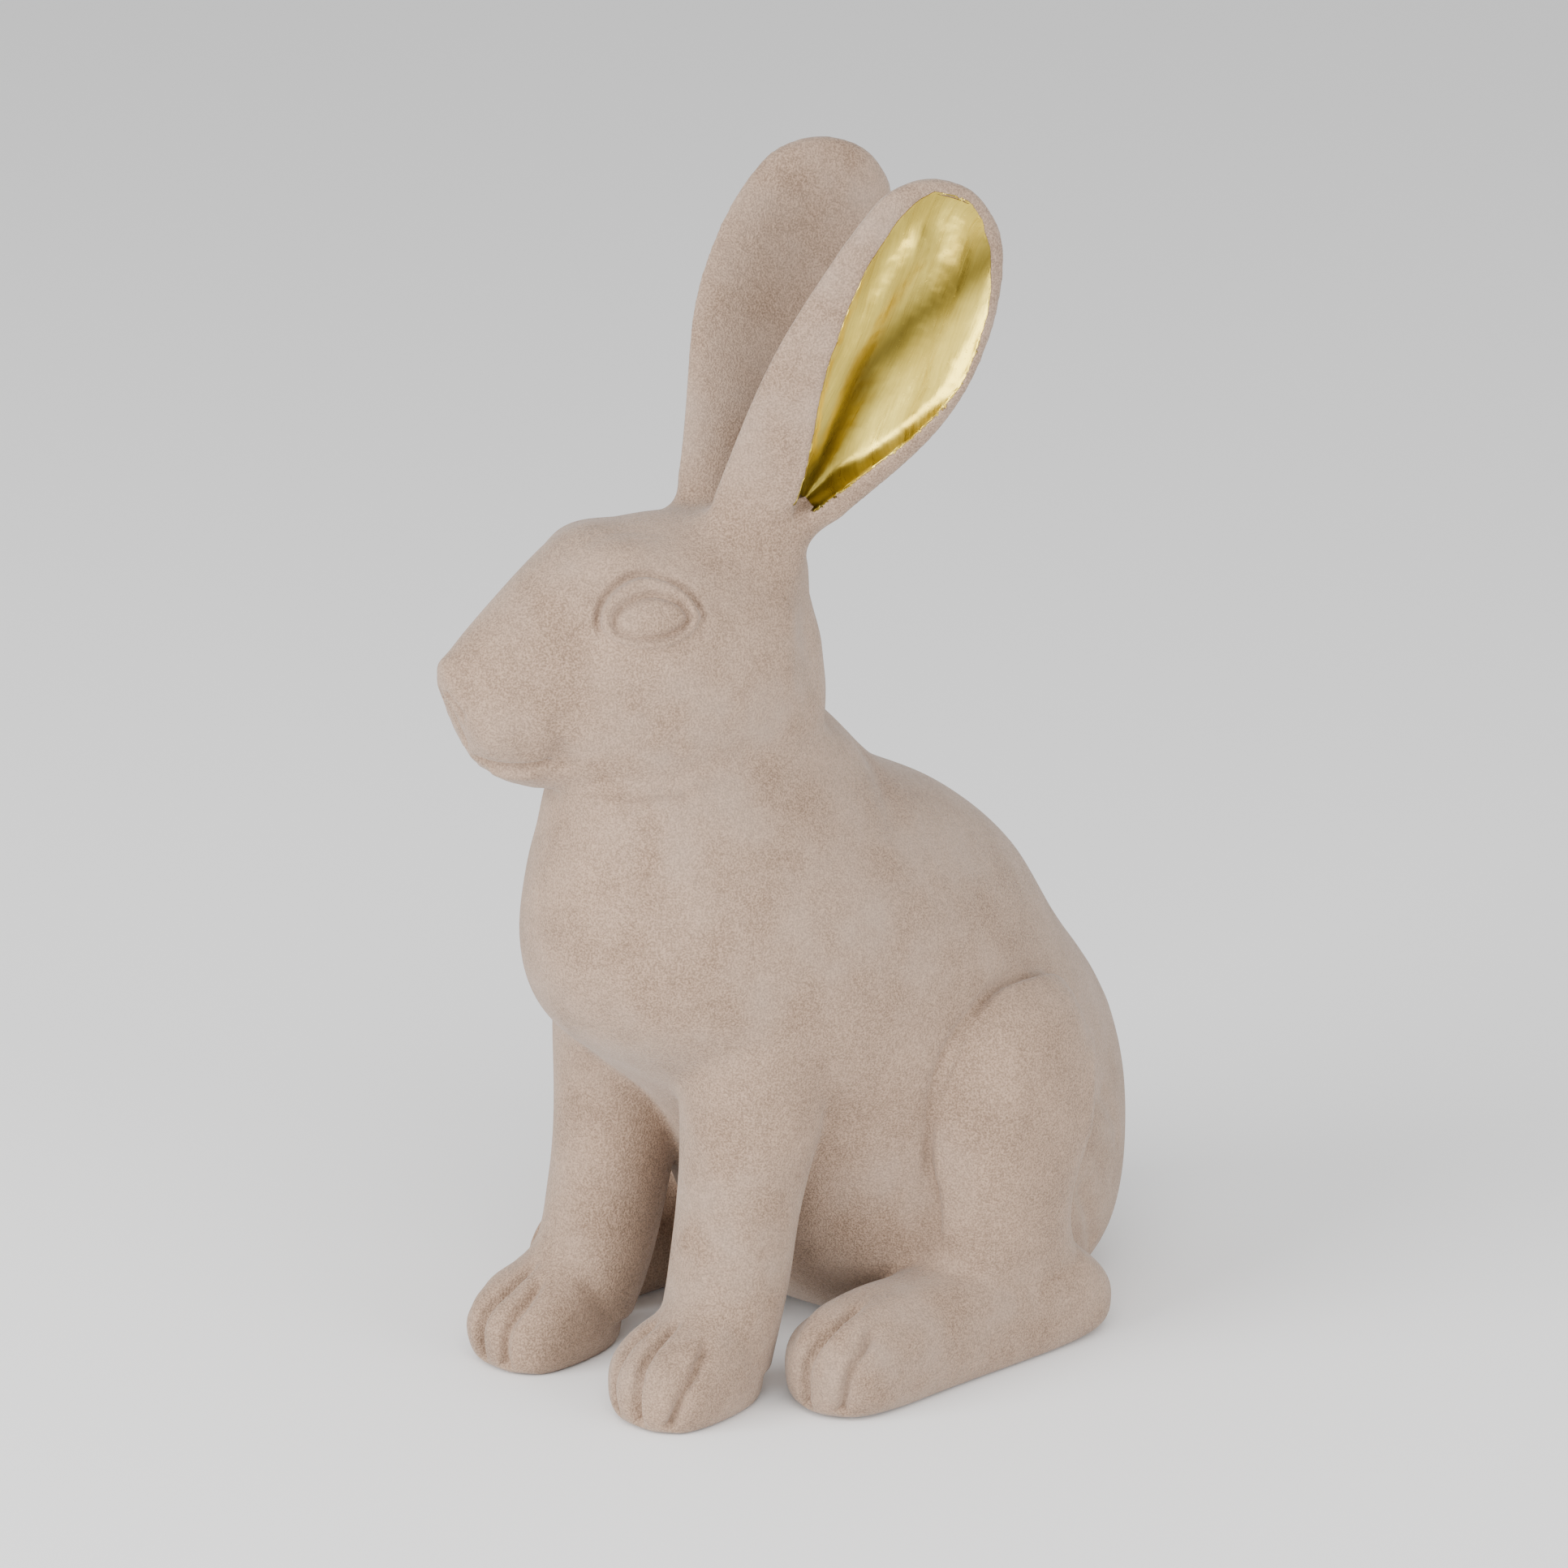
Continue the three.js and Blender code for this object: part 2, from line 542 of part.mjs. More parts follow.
const earAxis = earPoint({ ...earRoot, along: 1 }, 0, -EAR_PIN_INSET).sub(earPinPlace);
const leftEarPin = new Pin(EAR_PIN, earPinPlace, earAxis);
const rightForelegDowel = leftForelegDowel.mirrored();
const rightHindDowel = leftHindDowel.mirrored();
const rightEarPin = leftEarPin.mirrored();

// The torso casting, with its hollow, vent and bores. The mouth of the vent is cut clear through the floor.
const ventBore = turned(ventProfile(0, TORSO_FLOOR + 2 * TORSO_WALL));
const [mouthRadius, mouthTop] = [VENT.seatDiameter / 2, TORSO_FLOOR + VENT.seatDepth / 2];
const ventMouth = [[0, 0], [mouthRadius, 0], [mouthRadius, mouthTop], [0, mouthTop]];
const torsoPins = [neckDowel, leftForelegDowel, rightForelegDowel, leftHindDowel, rightHindDowel, tailPeg];
const torso = [
  torsoHollow(),
  solid(ventBore.translate(...VENT_PLACE)),
  solid(turned(ventMouth).translate(...VENT_PLACE)),
  ...torsoPins.map((pin) => pin.bore()),
].reduce((body, cut) => body.subtract(cut), torsoSkin());

// The castings glued to the torso are cut to its outside.
const torsoSeat = torsoSkin(GLUE_GAP);

// A leg made of a shaft and a foot, without what the torso, the dowel and the pad take up.
function legCasting(shaftSkin, footSkin, dowel, footSpec) {
  const blank = solid(shaftSkin).add(solid(footSkin));
  const cuts = [torsoSeat, dowel.bore(), solid(pad(footSpec, GLUE_GAP))];
  return geometryOf(cuts.reduce((body, cut) => body.subtract(cut), blank));
}

const leftForeleg = legCasting(
  shaft(FORELEG_SECTIONS, FORELEG_SIDES, LIMB_ROUNDNESS),
  foot(PAW, PAW_SECTIONS, 2),
  leftForelegDowel,
  PAW,
);
const leftHindLeg = legCasting(
  shaft(THIGH_SECTIONS, THIGH_SIDES, THIGH_ROUNDNESS),
  foot(HIND_FOOT, HIND_FOOT_SECTIONS, 1),
  leftHindDowel,
  HIND_FOOT,
);
const tail = solid(tailBud()).subtract(torsoSeat).subtract(tailPeg.bore());

// The head casting in the body's frame.
const earBores = [leftEarPin, rightEarPin].map((pin) => solid(onNeck(geometryOf(pin.bore()))));
const headCuts = [belowNeckJoint(), neckDowel.bore(), ...earBores];
const head = headCuts.reduce((body, cut) => body.subtract(cut), solid(onNeck(headSkin())));

// The left ear and its gold leaf, in the head's frame.
const headSeat = solid(headSkin(GLUE_GAP));
const leftEarBlank = solid(earBlank());
const earCuts = [solid(earScoop()), headSeat, leftEarPin.bore()];
const leftEar = geometryOf(earCuts.reduce((body, cut) => body.subtract(cut), leftEarBlank));
const leafUnder = solid(earScoop(GLUE_GAP));
const leafOver = solid(earScoop(GLUE_GAP + LEAF_THICKNESS));
const leftLeaf = geometryOf(leafUnder.subtract(leafOver).intersect(leftEarBlank).subtract(headSeat));

const headGroup = new THREE.Group();
headGroup.position.copy(HEAD_PIVOT);
headGroup.rotation.z = HEAD_TURN;
headGroup.add(
  piece("left_ear_casting", leftEar, COAT),
  piece("right_ear_casting", mirrored(leftEar), COAT),
  piece("left_ear_gilding", leftLeaf, GOLD_LEAF),
  piece("right_ear_gilding", mirrored(leftLeaf), GOLD_LEAF),
  leftEarPin.mesh("left_ear_pin", STEEL),
  rightEarPin.mesh("right_ear_pin", STEEL),
);

const ventPlug = turned(ventProfile(GLUE_GAP, TORSO_FLOOR + VENT.plugLength)).translate(...VENT_PLACE);
const leftPawPad = pad(PAW);
const leftHindPad = pad(HIND_FOOT);

const hare = new THREE.Group();
hare.add(
  piece("torso_casting", torso, COAT),
  piece("vent_plug", ventPlug, RUBBER),
  piece("head_casting", head, COAT),
  neckDowel.mesh("neck_dowel", BEECH),
  headGroup,
  piece("left_foreleg_casting", leftForeleg, COAT),
  piece("right_foreleg_casting", mirrored(leftForeleg), COAT),
  leftForelegDowel.mesh("left_foreleg_dowel", BEECH),
  rightForelegDowel.mesh("right_foreleg_dowel", BEECH),
  piece("left_hind_leg_casting", leftHindLeg, COAT),
  piece("right_hind_leg_casting", mirrored(leftHindLeg), COAT),
  leftHindDowel.mesh("left_hind_leg_dowel", BEECH),
  rightHindDowel.mesh("right_hind_leg_dowel", BEECH),
  piece("tail_casting", tail, COAT),
  tailPeg.mesh("tail_peg", BEECH),
  piece("left_fore_pad", leftPawPad, FELT),
  piece("right_fore_pad", mirrored(mergeVertices(leftPawPad)), FELT),
  piece("left_hind_pad", leftHindPad, FELT),
  piece("right_hind_pad", mirrored(mergeVertices(leftHindPad)), FELT),
);

// The origin is under the middle of the whole figure.
const box = new THREE.Box3().setFromObject(hare);
const centre = box.getCenter(new THREE.Vector3());
hare.position.set(-centre.x, -centre.y, -box.min.z);

export default hare;
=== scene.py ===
"""Sitting hare ornament: a flocked coat over glued castings, with gold leaf in the scoops of the ears."""

import logging
import math
from dataclasses import dataclass
from enum import Enum
from itertools import product

import bpy
import numpy as np
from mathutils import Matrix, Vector


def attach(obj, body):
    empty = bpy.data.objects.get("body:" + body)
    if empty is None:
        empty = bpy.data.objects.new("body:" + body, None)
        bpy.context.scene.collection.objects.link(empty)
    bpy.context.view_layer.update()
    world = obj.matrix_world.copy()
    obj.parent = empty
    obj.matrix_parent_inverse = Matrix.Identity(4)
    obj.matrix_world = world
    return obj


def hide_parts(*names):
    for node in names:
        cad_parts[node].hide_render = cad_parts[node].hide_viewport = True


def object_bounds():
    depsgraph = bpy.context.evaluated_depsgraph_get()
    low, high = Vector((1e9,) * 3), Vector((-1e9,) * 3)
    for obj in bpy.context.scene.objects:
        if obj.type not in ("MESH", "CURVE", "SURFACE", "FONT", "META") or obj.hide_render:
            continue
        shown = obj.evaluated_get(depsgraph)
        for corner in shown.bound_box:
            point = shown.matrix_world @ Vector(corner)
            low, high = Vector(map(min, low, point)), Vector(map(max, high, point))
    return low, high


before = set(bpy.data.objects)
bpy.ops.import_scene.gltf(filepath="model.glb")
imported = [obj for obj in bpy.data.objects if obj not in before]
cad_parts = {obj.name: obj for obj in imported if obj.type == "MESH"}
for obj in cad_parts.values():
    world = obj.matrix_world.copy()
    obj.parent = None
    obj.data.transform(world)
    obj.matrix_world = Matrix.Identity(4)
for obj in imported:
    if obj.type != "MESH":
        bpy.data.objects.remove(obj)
cad_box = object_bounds()

log = logging.getLogger("hare")
MM = 0.001
CURVE_STEP_MM = 0.8
LEAST_SQUARE_MM2 = 1e-9
TOE_FADE_SHARES = (0.2, 0.03)

Point = tuple[float, float, float]
Colour = tuple[float, float, float]
Array = np.ndarray


class Slot(Enum):
    """The record's finish slots for the coat and the gold leaf; nothing in this script uses them."""

    COAT = "flock_coat"
    GOLD = "gold_leaf"


class Side(Enum):
    """A side of the hare, with the sign of its side axis."""

    LEFT = 1
    RIGHT = -1

    @property
    def mirror(self) -> Array:
        """The factors that bring places of the left side to this one."""
        return np.array([self.value, 1, 1])

    def node(self, name: str) -> str:
        """Return the full name of a paired node on this side."""
        return f"{self.name.lower()}_{name}"


class Edge(Enum):
    """How a worked line meets the coat beside it."""

    SOFT = "the same on both sides"
    STEP = "raised on its left side alone"


class Part(Enum):
    """The parts of a mesh that are selected, by Blender's names."""

    POINT = "VERT"
    FACE = "FACE"


@dataclass(frozen=True)
class Grain:
    """One noise pattern: its size in metres, detail and roughness, and the part of its range in use."""

    size: float
    detail: float
    rough: float
    low: float = 0.0
    high: float = 1.0


@dataclass(frozen=True)
class Relief:
    """How deep a pattern goes into a surface, in metres, and how strongly it shows."""

    depth: float
    strength: float


def both(name: str) -> tuple[str, ...]:
    """Return the left and the right name of a paired node."""
    return tuple(side.node(name) for side in Side)


def smooth_step(low: float, high: float, value: Array) -> Array:
    """Return a smooth rise from 0 to 1 as the value goes from low to high."""
    share = np.clip((value - low) / (high - low), 0.0, 1.0)
    return share * share * (3.0 - 2.0 * share)


def linear(red: int, green: int, blue: int) -> Colour:
    """Return a screen colour of 0 to 255 as linear light."""
    shares = [channel / 255 for channel in (red, green, blue)]
    return tuple(s / 12.92 if s <= 0.04045 else ((s + 0.055) / 1.055) ** 2.4 for s in shares)


def deselect() -> None:
    """Leave every object unselected."""
    bpy.ops.object.select_all(action="DESELECT")


def select_only(piece: bpy.types.Object) -> None:
    """Select one object and make it active.

    Args:
        piece: the object.
    """
    deselect()
    piece.select_set(True)
    bpy.context.view_layer.objects.active = piece


def apply_modifier(piece: bpy.types.Object, kind: str, settings: dict[str, object]) -> None:
    """Give a piece a modifier and apply it.

    Args:
        piece: the object that changes.
        kind: the modifier's type.
        settings: the modifier's own settings.
    """
    select_only(piece)
    modifier = piece.modifiers.new(kind.lower(), kind)
    for key, value in settings.items():
        setattr(modifier, key, value)
    bpy.ops.object.modifier_apply(modifier=modifier.name)


def open_with(piece: bpy.types.Object, part: Part, marked: Array) -> None:
    """Open a piece in edit mode with some of its points or faces selected.

    Args:
        piece: the object that is opened.
        part: whether points or faces are selected.
        marked: whether each of them is selected.
    """
    select_only(piece)
    bpy.ops.object.mode_set(mode="EDIT")
    bpy.ops.mesh.select_mode(type=part.value)
    bpy.ops.mesh.select_all(action="DESELECT")
    bpy.ops.object.mode_set(mode="OBJECT")
    parts = piece.data.vertices if part is Part.POINT else piece.data.polygons
    parts.foreach_set("select", marked)
    bpy.ops.object.mode_set(mode="EDIT")


@dataclass(frozen=True)
class Value:
    """A number on a node's output, on which Python's operators add Math nodes."""

    paint: "Paint"
    socket: bpy.types.NodeSocket

    def _math(self, operation: str, first: object, second: object) -> "Value":
        """Add one Math node."""
        return self.paint.add("ShaderNodeMath", {"operation": operation}, {0: first, 1: second})

    def __add__(self, other: object) -> "Value":
        """Return the sum."""
        return self._math("ADD", self, other)

    __radd__ = __add__

    def __sub__(self, other: object) -> "Value":
        """Return this less the other."""
        return self._math("SUBTRACT", self, other)

    def __rsub__(self, other: object) -> "Value":
        """Return the other less this."""
        return self._math("SUBTRACT", other, self)

    def __mul__(self, other: object) -> "Value":
        """Return the product."""
        return self._math("MULTIPLY", self, other)

    __rmul__ = __mul__


class Paint:
    """A node material that is put together one node at a time."""

    def __init__(self, name: str) -> None:
        """Start a material with no node in it.

        Args:
            name: the material's name.
        """
        self.material = bpy.data.materials.new(name)
        self.material.use_nodes = True
        self.nodes = self.material.node_tree.nodes
        self.links = self.material.node_tree.links
        self.nodes.clear()

    def add(
        self, kind: str, settings: dict[str, object], sockets: dict[object, object], out: object = 0
    ) -> Value:
        """Add a node, set it up and join its sockets.

        Args:
            kind: the node's type.
            settings: the node's settings.
            sockets: values or links for its inputs, by name or number.
            out: the output that is handed back.

        Returns:
            The chosen output.
        """
        node = self.nodes.new(kind)
        for key, setting in settings.items():
            setattr(node, key, setting)
        for key, value in sockets.items():
            if isinstance(value, Value):
                self.links.new(value.socket, node.inputs[key])
            else:
                node.inputs[key].default_value = value
        return Value(self, node.outputs[out]) if node.outputs else Value(self, None)

    def place(self) -> Value:
        """Return the Object coordinates."""
        return self.add("ShaderNodeTexCoord", {}, {}, "Object")

    def scaled(self, coords: Value, scale: Point) -> Value:
        """Return coordinates stretched by a factor on each axis."""
        return self.add("ShaderNodeMapping", {}, {"Vector": coords, "Scale": scale})

    def noise(self, coords: Value, grain: Grain) -> Value:
        """Return soft noise over its whole range."""
        look = {"Scale": 1 / grain.size, "Detail": grain.detail, "Roughness": grain.rough}
        return self.add("ShaderNodeTexNoise", {}, {"Vector": coords, **look}, "Fac")

    def spread(self, noise: Value, grain: Grain) -> Value:
        """Return noise stretched so that the grain's range becomes 0 to 1."""
        sockets = {"Value": noise, "From Min": grain.low, "From Max": grain.high}
        return self.add("ShaderNodeMapRange", {}, sockets)

    def pattern(self, coords: Value, grain: Grain) -> Value:
        """Return soft noise with the grain's range as 0 to 1."""
        return self.spread(self.noise(coords, grain), grain)

    def blend(self, share: object, first: object, second: object) -> Value:
        """Return a mix of two colours."""
        sockets = {0: share, 6: self._rgba(first), 7: self._rgba(second)}
        return self.add("ShaderNodeMix", {"data_type": "RGBA"}, sockets, 2)

    def _rgba(self, colour: object) -> object:
        """Return a colour with its alpha, or a link as it is."""
        return colour if isinstance(colour, Value) else (*colour, 1.0)

    def bump(self, height: Value, relief: Relief, under: Value | None = None) -> Value:
        """Return a normal that a height has moved.

        Args:
            height: the height, from 0 to 1.
            relief: how deep it goes and how strongly it shows.
            under: a normal that it is laid over.

        Returns:
            The normal.
        """
        sockets = {"Height": height, "Distance": relief.depth, "Strength": relief.strength}
        if under is not None:
            sockets["Normal"] = under
        return self.add("ShaderNodeBump", {}, sockets)

    def surface(self, sockets: dict[str, object]) -> bpy.types.Material:
        """Close the material with a Principled surface.

        Args:
            sockets: values or links for the surface's inputs.

        Returns:
            The material.
        """
        shader = self.add("ShaderNodeBsdfPrincipled", {}, sockets)
        self.add("ShaderNodeOutputMaterial", {}, {"Surface": shader})
        return self.material


def mixed(patterns: tuple[Value, ...], shares: tuple[float, ...]) -> Value:
    """Return patterns added up by their shares."""
    first, *rest = [pattern * share for pattern, share in zip(patterns, shares)]
    return sum(rest, first)


@dataclass(frozen=True)
class FlockFinish:
    """Short, upright velvet fibres on the castings."""

    light: Colour = linear(171, 145, 124)
    deep: Colour = linear(113, 93, 78)
    cool: Colour = linear(149, 134, 123)
    fibre: Grain = Grain(0.45 * MM, 1.0, 0.6, 0.36, 0.64)
    tuft: Grain = Grain(1.3 * MM, 2.0, 0.6, 0.33, 0.67)
    nap: Grain = Grain(15 * MM, 3.0, 0.55, 0.35, 0.68)
    brushed: Grain = Grain(48 * MM, 2.0, 0.5, 0.36, 0.66)
    shares: tuple[float, ...] = (0.6, 0.16, 0.24)
    cool_share: float = 0.45
    pile_shares: tuple[float, ...] = (0.7, 0.3)
    pile: Relief = Relief(0.35 * MM, 0.5)

    def make(self) -> bpy.types.Material:
        """Mix the flock.

        Returns:
            The material.
        """
        paint = Paint("greige_flock")
        place = paint.place()
        fibre = paint.pattern(place, self.fibre)
        tuft = paint.pattern(place, self.tuft)
        nap = paint.pattern(place, self.nap)
        brushed = paint.pattern(place, self.brushed)
        body = paint.blend(mixed((fibre, tuft, nap), self.shares), self.deep, self.light)
        return paint.surface({
            "Base Color": paint.blend(brushed * nap * self.cool_share, body, self.cool),
            "Roughness": 0.95,
            "Specular IOR Level": 0.12,
            "Sheen Weight": 0.27,
            "Sheen Roughness": 0.42,
            "Sheen Tint": (0.93, 0.9, 0.88, 1.0),
            "Normal": paint.bump(mixed((fibre, tuft), self.pile_shares), self.pile),
        })


@dataclass(frozen=True)
class GoldLeafFinish:
    """Burnished leaf with fine brush lines that run along the ear, and painted shade laid down the valley
    between its two lobes.
    """

    bright: Colour = linear(229, 207, 100)
    warm: Colour = linear(172, 146, 54)
    # The colour of the painted shade in the valley between the lobes.
    painted_shade: Colour = linear(58, 46, 12)
    stroke: Grain = Grain(0.35 * MM, 3.0, 0.65, 0.3, 0.7)
    sweep: Grain = Grain(2.45 * MM, 2.0, 0.5, 0.3, 0.7)
    hand: Grain = Grain(7 * MM, 2.0, 0.5)
    band: Grain = Grain(7 * MM, 1.0, 0.5, 0.35, 0.65)
    flake: Grain = Grain(0.5 * MM, 0.0, 0.5, 0.74, 0.8)
    stroke_scale: Point = (1.0, 0.045, 1.0)
    band_scale: Point = (1.0, 0.3, 1.0)
    shares: tuple[float, ...] = (0.3, 0.3, 0.4)
    scratches: Relief = Relief(0.02 * MM, 0.5)
    dents: Relief = Relief(1.1 * MM, 0.55)
    flake_share: float = 0.04
    fold: float = 6.0 * MM
    fold_turn: float = 50 * MM
    fold_slant: float = 0.48
    fold_width: float = 9.0 * MM
    fold_sway: float = 2.5 * MM
    painted_shade_strength: float = 0.82

    def make(self) -> bpy.types.Material:
        """Lay the gold.

        Returns:
            The material.
        """
        paint = Paint("burnished_gold_leaf")
        along = paint.add("ShaderNodeUVMap", {"uv_map": "leaf"}, {})
        lines = paint.scaled(along, self.stroke_scale)
        stroke = paint.pattern(lines, self.stroke)
        sweep = paint.pattern(lines, self.sweep)
        hand = paint.noise(along, self.hand)
        flake = paint.pattern(along, self.flake)
        band = paint.pattern(paint.scaled(along, self.band_scale), self.band)
        leaf = paint.blend(mixed((stroke, sweep, band), self.shares), self.warm, self.bright)
        # Painted shade: the valley between the lobes is darkened in the leaf's own colour, standing in for
        # the dark reflections there.
        fold = self._painted_valley_shade(paint, along, hand) * self.painted_shade_strength
        scratches = paint.bump(stroke, self.scratches)
        return paint.surface({
            "Base Color": paint.blend(fold, leaf, self.painted_shade),
            "Metallic": 1.0,
            "Roughness": 0.22 + sweep * 0.1 + stroke * 0.08,
            "Normal": paint.bump(hand + flake * self.flake_share, self.dents, scratches),
        })

    def _painted_valley_shade(self, paint: Paint, along: Value, hand: Value) -> Value:
        """Return how much painted shade a point gets in the valley between the two lobes of the ear.

        Args:
            paint: the material.
            along: the UV map, in metres across and along the ear.
            hand: the slow noise that the valley sways with.

        Returns:
            From 0 outside the valley to 1 in its middle.
        """
        across = paint.add("ShaderNodeSeparateXYZ", {}, {"Vector": along}, "X")
        up_the_ear = paint.add("ShaderNodeSeparateXYZ", {}, {"Vector": along}, "Y")
        bend = paint.add("ShaderNodeMath", {"operation": "MAXIMUM"}, {0: up_the_ear - self.fold_turn, 1: 0.0})
        offset = across - bend * self.fold_slant - self.fold + (hand - 0.5) * self.fold_sway
        gap = paint.add("ShaderNodeMath", {"operation": "ABSOLUTE"}, {0: offset})
        sockets = {"Value": gap, "From Min": self.fold_width, "From Max": 0.0}
        return paint.add("ShaderNodeMapRange", {"interpolation_type": "SMOOTHSTEP"}, sockets)


@dataclass(frozen=True)
class FeltFinish:
    """Pressed wool felt under the paws."""

    dark: Colour = linear(112, 103, 96)
    pale: Colour = linear(150, 140, 131)
    fuzz: Grain = Grain(0.6 * MM, 4.0, 0.7, 0.3, 0.7)
    relief: Relief = Relief(0.3 * MM, 0.6)

    def make(self) -> bpy.types.Material:
        """Press the felt.

        Returns:
            The material.
        """
        paint = Paint("pressed_felt")
        fuzz = paint.noise(paint.place(), self.fuzz)
        return paint.surface({
            "Base Color": paint.blend(paint.spread(fuzz, self.fuzz), self.dark, self.pale),
            "Roughness": 1.0,
            "Sheen Weight": 0.3,
            "Normal": paint.bump(fuzz, self.relief),
        })


@dataclass(frozen=True)
class RubberFinish:
    """Moulded soft rubber of the vent plug."""

    black: Colour = linear(62, 59, 57)
    dusty: Colour = linear(90, 87, 84)
    mottle: Grain = Grain(4 * MM, 3.0, 0.6, 0.4, 0.75)
    pores: Grain = Grain(0.4 * MM, 1.0, 0.5)
    relief: Relief = Relief(0.08 * MM, 0.4)

    def make(self) -> bpy.types.Material:
        """Mould the rubber.

        Returns:
            The material.
        """
        paint = Paint("moulded_rubber")
        mottle = paint.noise(paint.place(), self.mottle)
        return paint.surface({
            "Base Color": paint.blend(paint.spread(mottle, self.mottle), self.black, self.dusty),
            "Roughness": 0.6 + mottle * 0.25,
            "Normal": paint.bump(paint.noise(paint.place(), self.pores), self.relief),
        })


@dataclass(frozen=True)
class BeechFinish:
    """Turned beech of the dowels and the tail peg."""

    pale: Colour = linear(222, 190, 148)
    dark: Colour = linear(188, 146, 100)
    grain: Grain = Grain(0.9 * MM, 4.0, 0.6, 0.3, 0.7)
    grain_scale: Point = (1.0, 1.0, 0.12)
    relief: Relief = Relief(0.1 * MM, 0.4)

    def make(self) -> bpy.types.Material:
        """Turn the beech.

        Returns:
            The material.
        """
        paint = Paint("turned_beech")
        grain = paint.noise(paint.scaled(paint.place(), self.grain_scale), self.grain)
        return paint.surface({
            "Base Color": paint.blend(paint.spread(grain, self.grain), self.dark, self.pale),
            "Roughness": 0.55 + grain * 0.2,
            "Normal": paint.bump(grain, self.relief),
        })


@dataclass(frozen=True)
class SteelFinish:
    """Drawn steel wire of the ear pins."""

    bright: Colour = linear(172, 173, 176)
    dull: Colour = linear(142, 144, 148)
    lines: Grain = Grain(0.15 * MM, 2.0, 0.5)
    line_scale: Point = (1.0, 1.0, 0.05)

    def make(self) -> bpy.types.Material:
        """Draw the steel.

        Returns:
            The material.
        """
        paint = Paint("drawn_steel")
        lines = paint.noise(paint.scaled(paint.place(), self.line_scale), self.lines)
        return paint.surface({
            "Base Color": paint.blend(lines, self.bright, self.dull),
            "Metallic": 1.0,
            "Roughness": 0.25 + lines * 0.2,
        })


@dataclass(frozen=True)
class PaperFinish:
    """The plain pale paper that the figure stands on."""

    white: Colour = (0.93, 0.93, 0.93)
    tooth: Grain = Grain(1.5 * MM, 2.0, 0.5)
    relief: Relief = Relief(0.05 * MM, 0.1)

    def make(self) -> bpy.types.Material:
        """Make the paper.

        Returns:
            The material.
        """
        paint = Paint("studio_paper")
        return paint.surface({
            "Base Color": (*self.white, 1.0),
            "Roughness": 0.9,
            "Specular IOR Level": 0.1,
            "Normal": paint.bump(paint.noise(paint.place(), self.tooth), self.relief),
        })


@dataclass(frozen=True)
class Softbox:
    """One large soft light, aimed at the figure."""

    name: str
    place: Point
    width: float
    height: float
    power: float


@dataclass
class Studio:
    """Camera, soft lights and a plain pale floor."""

    target: Point = (32 * MM, -38.3 * MM, 150 * MM)
    azimuth: float = 47.0
    elevation: float = 16.5
    distance: float = 1.45
    lens: float = 144.55
    view_depth: float = 50.0
    floor_size: float = 14.0
    floor_drop: float = 0.05 * MM
    world: Colour = (0.8, 0.8, 0.8)
    softboxes: tuple[Softbox, ...] = (
        Softbox("key_softbox", (-0.2, -1.7, 0.65), 1.2, 1.2, 46.0),
        Softbox("side_softbox", (1.7, 0.1, 0.25), 1.0, 1.0, 27.0),
        Softbox("front_softbox", (0.9, -0.9, 1.3), 1.0, 1.0, 16.0),
        Softbox("floor_softbox", (1.1, -1.2, 0.2), 1.0, 1.0, 6.0),
    )

    def set_camera(self) -> None:
        """Stand the camera where the photograph was taken."""
        turn, rise = math.radians(self.azimuth), math.radians(self.elevation)
        away = Vector((
            math.sin(turn) * math.cos(rise),
            -math.cos(turn) * math.cos(rise),
            math.sin(rise),
        ))
        data = bpy.data.cameras.new("photo_camera")
        data.lens = self.lens
        data.clip_end = self.view_depth
        camera = bpy.data.objects.new("photo_camera", data)
        camera.location = Vector(self.target) + away * self.distance
        camera.rotation_euler = (-away).to_track_quat("-Z", "Y").to_euler()
        bpy.context.scene.collection.objects.link(camera)
        bpy.context.scene.camera = camera

    def set_lights(self) -> None:
        """Hang the softboxes and light the room evenly."""
        for box in self.softboxes:
            data = bpy.data.lights.new(box.name, "AREA")
            data.shape = "RECTANGLE"
            data.size = box.width
            data.size_y = box.height
            data.energy = box.power
            light = bpy.data.objects.new(box.name, data)
            light.location = box.place
            aim = Vector(self.target) - Vector(box.place)
            light.rotation_euler = aim.to_track_quat("-Z", "Y").to_euler()
            bpy.context.scene.collection.objects.link(light)
        room = bpy.data.worlds.new("white_room")
        room.use_nodes = True
        room.node_tree.nodes["Background"].inputs["Color"].default_value = (*self.world, 1.0)
        bpy.context.scene.world = room

    def lay_floor(self) -> None:
        """Lay the paper just under the pads."""
        deselect()
        bpy.ops.mesh.primitive_plane_add(size=self.floor_size, location=(0, 0, -self.floor_drop))
        floor = bpy.context.object
        floor.name = "paper_floor"
        floor.data.materials.append(PaperFinish().make())


@dataclass(frozen=True)
class HeadFrame:
    """The head's own frame: side, forward and up, turned on the neck."""

    turn: float = math.radians(-18)
    pivot: Point = (0.0, -40.32, 0.0)

    def to_body(self, points: Array) -> Array:
        """Bring points to the body's frame.

        Args:
            points: points in the head's frame.

        Returns:
            The same points in the body's frame.
        """
        side, back, up = points[:, 0], -points[:, 1], points[:, 2]
        cos, sin = math.cos(self.turn), math.sin(self.turn)
        turned = np.column_stack([side * cos - back * sin, side * sin + back * cos, up])
        return turned + np.array(self.pivot)

    def from_body(self, points: Array) -> Array:
        """Bring points to the head's frame.

        Args:
            points: points in the body's frame.

        Returns:
            The same points in the head's frame.
        """
        moved = points - np.array(self.pivot)
        cos, sin = math.cos(self.turn), math.sin(self.turn)
        side = moved[:, 0] * cos + moved[:, 1] * sin
        back = moved[:, 1] * cos - moved[:, 0] * sin
        return np.column_stack([side, -back, moved[:, 2]])


HEAD = HeadFrame()


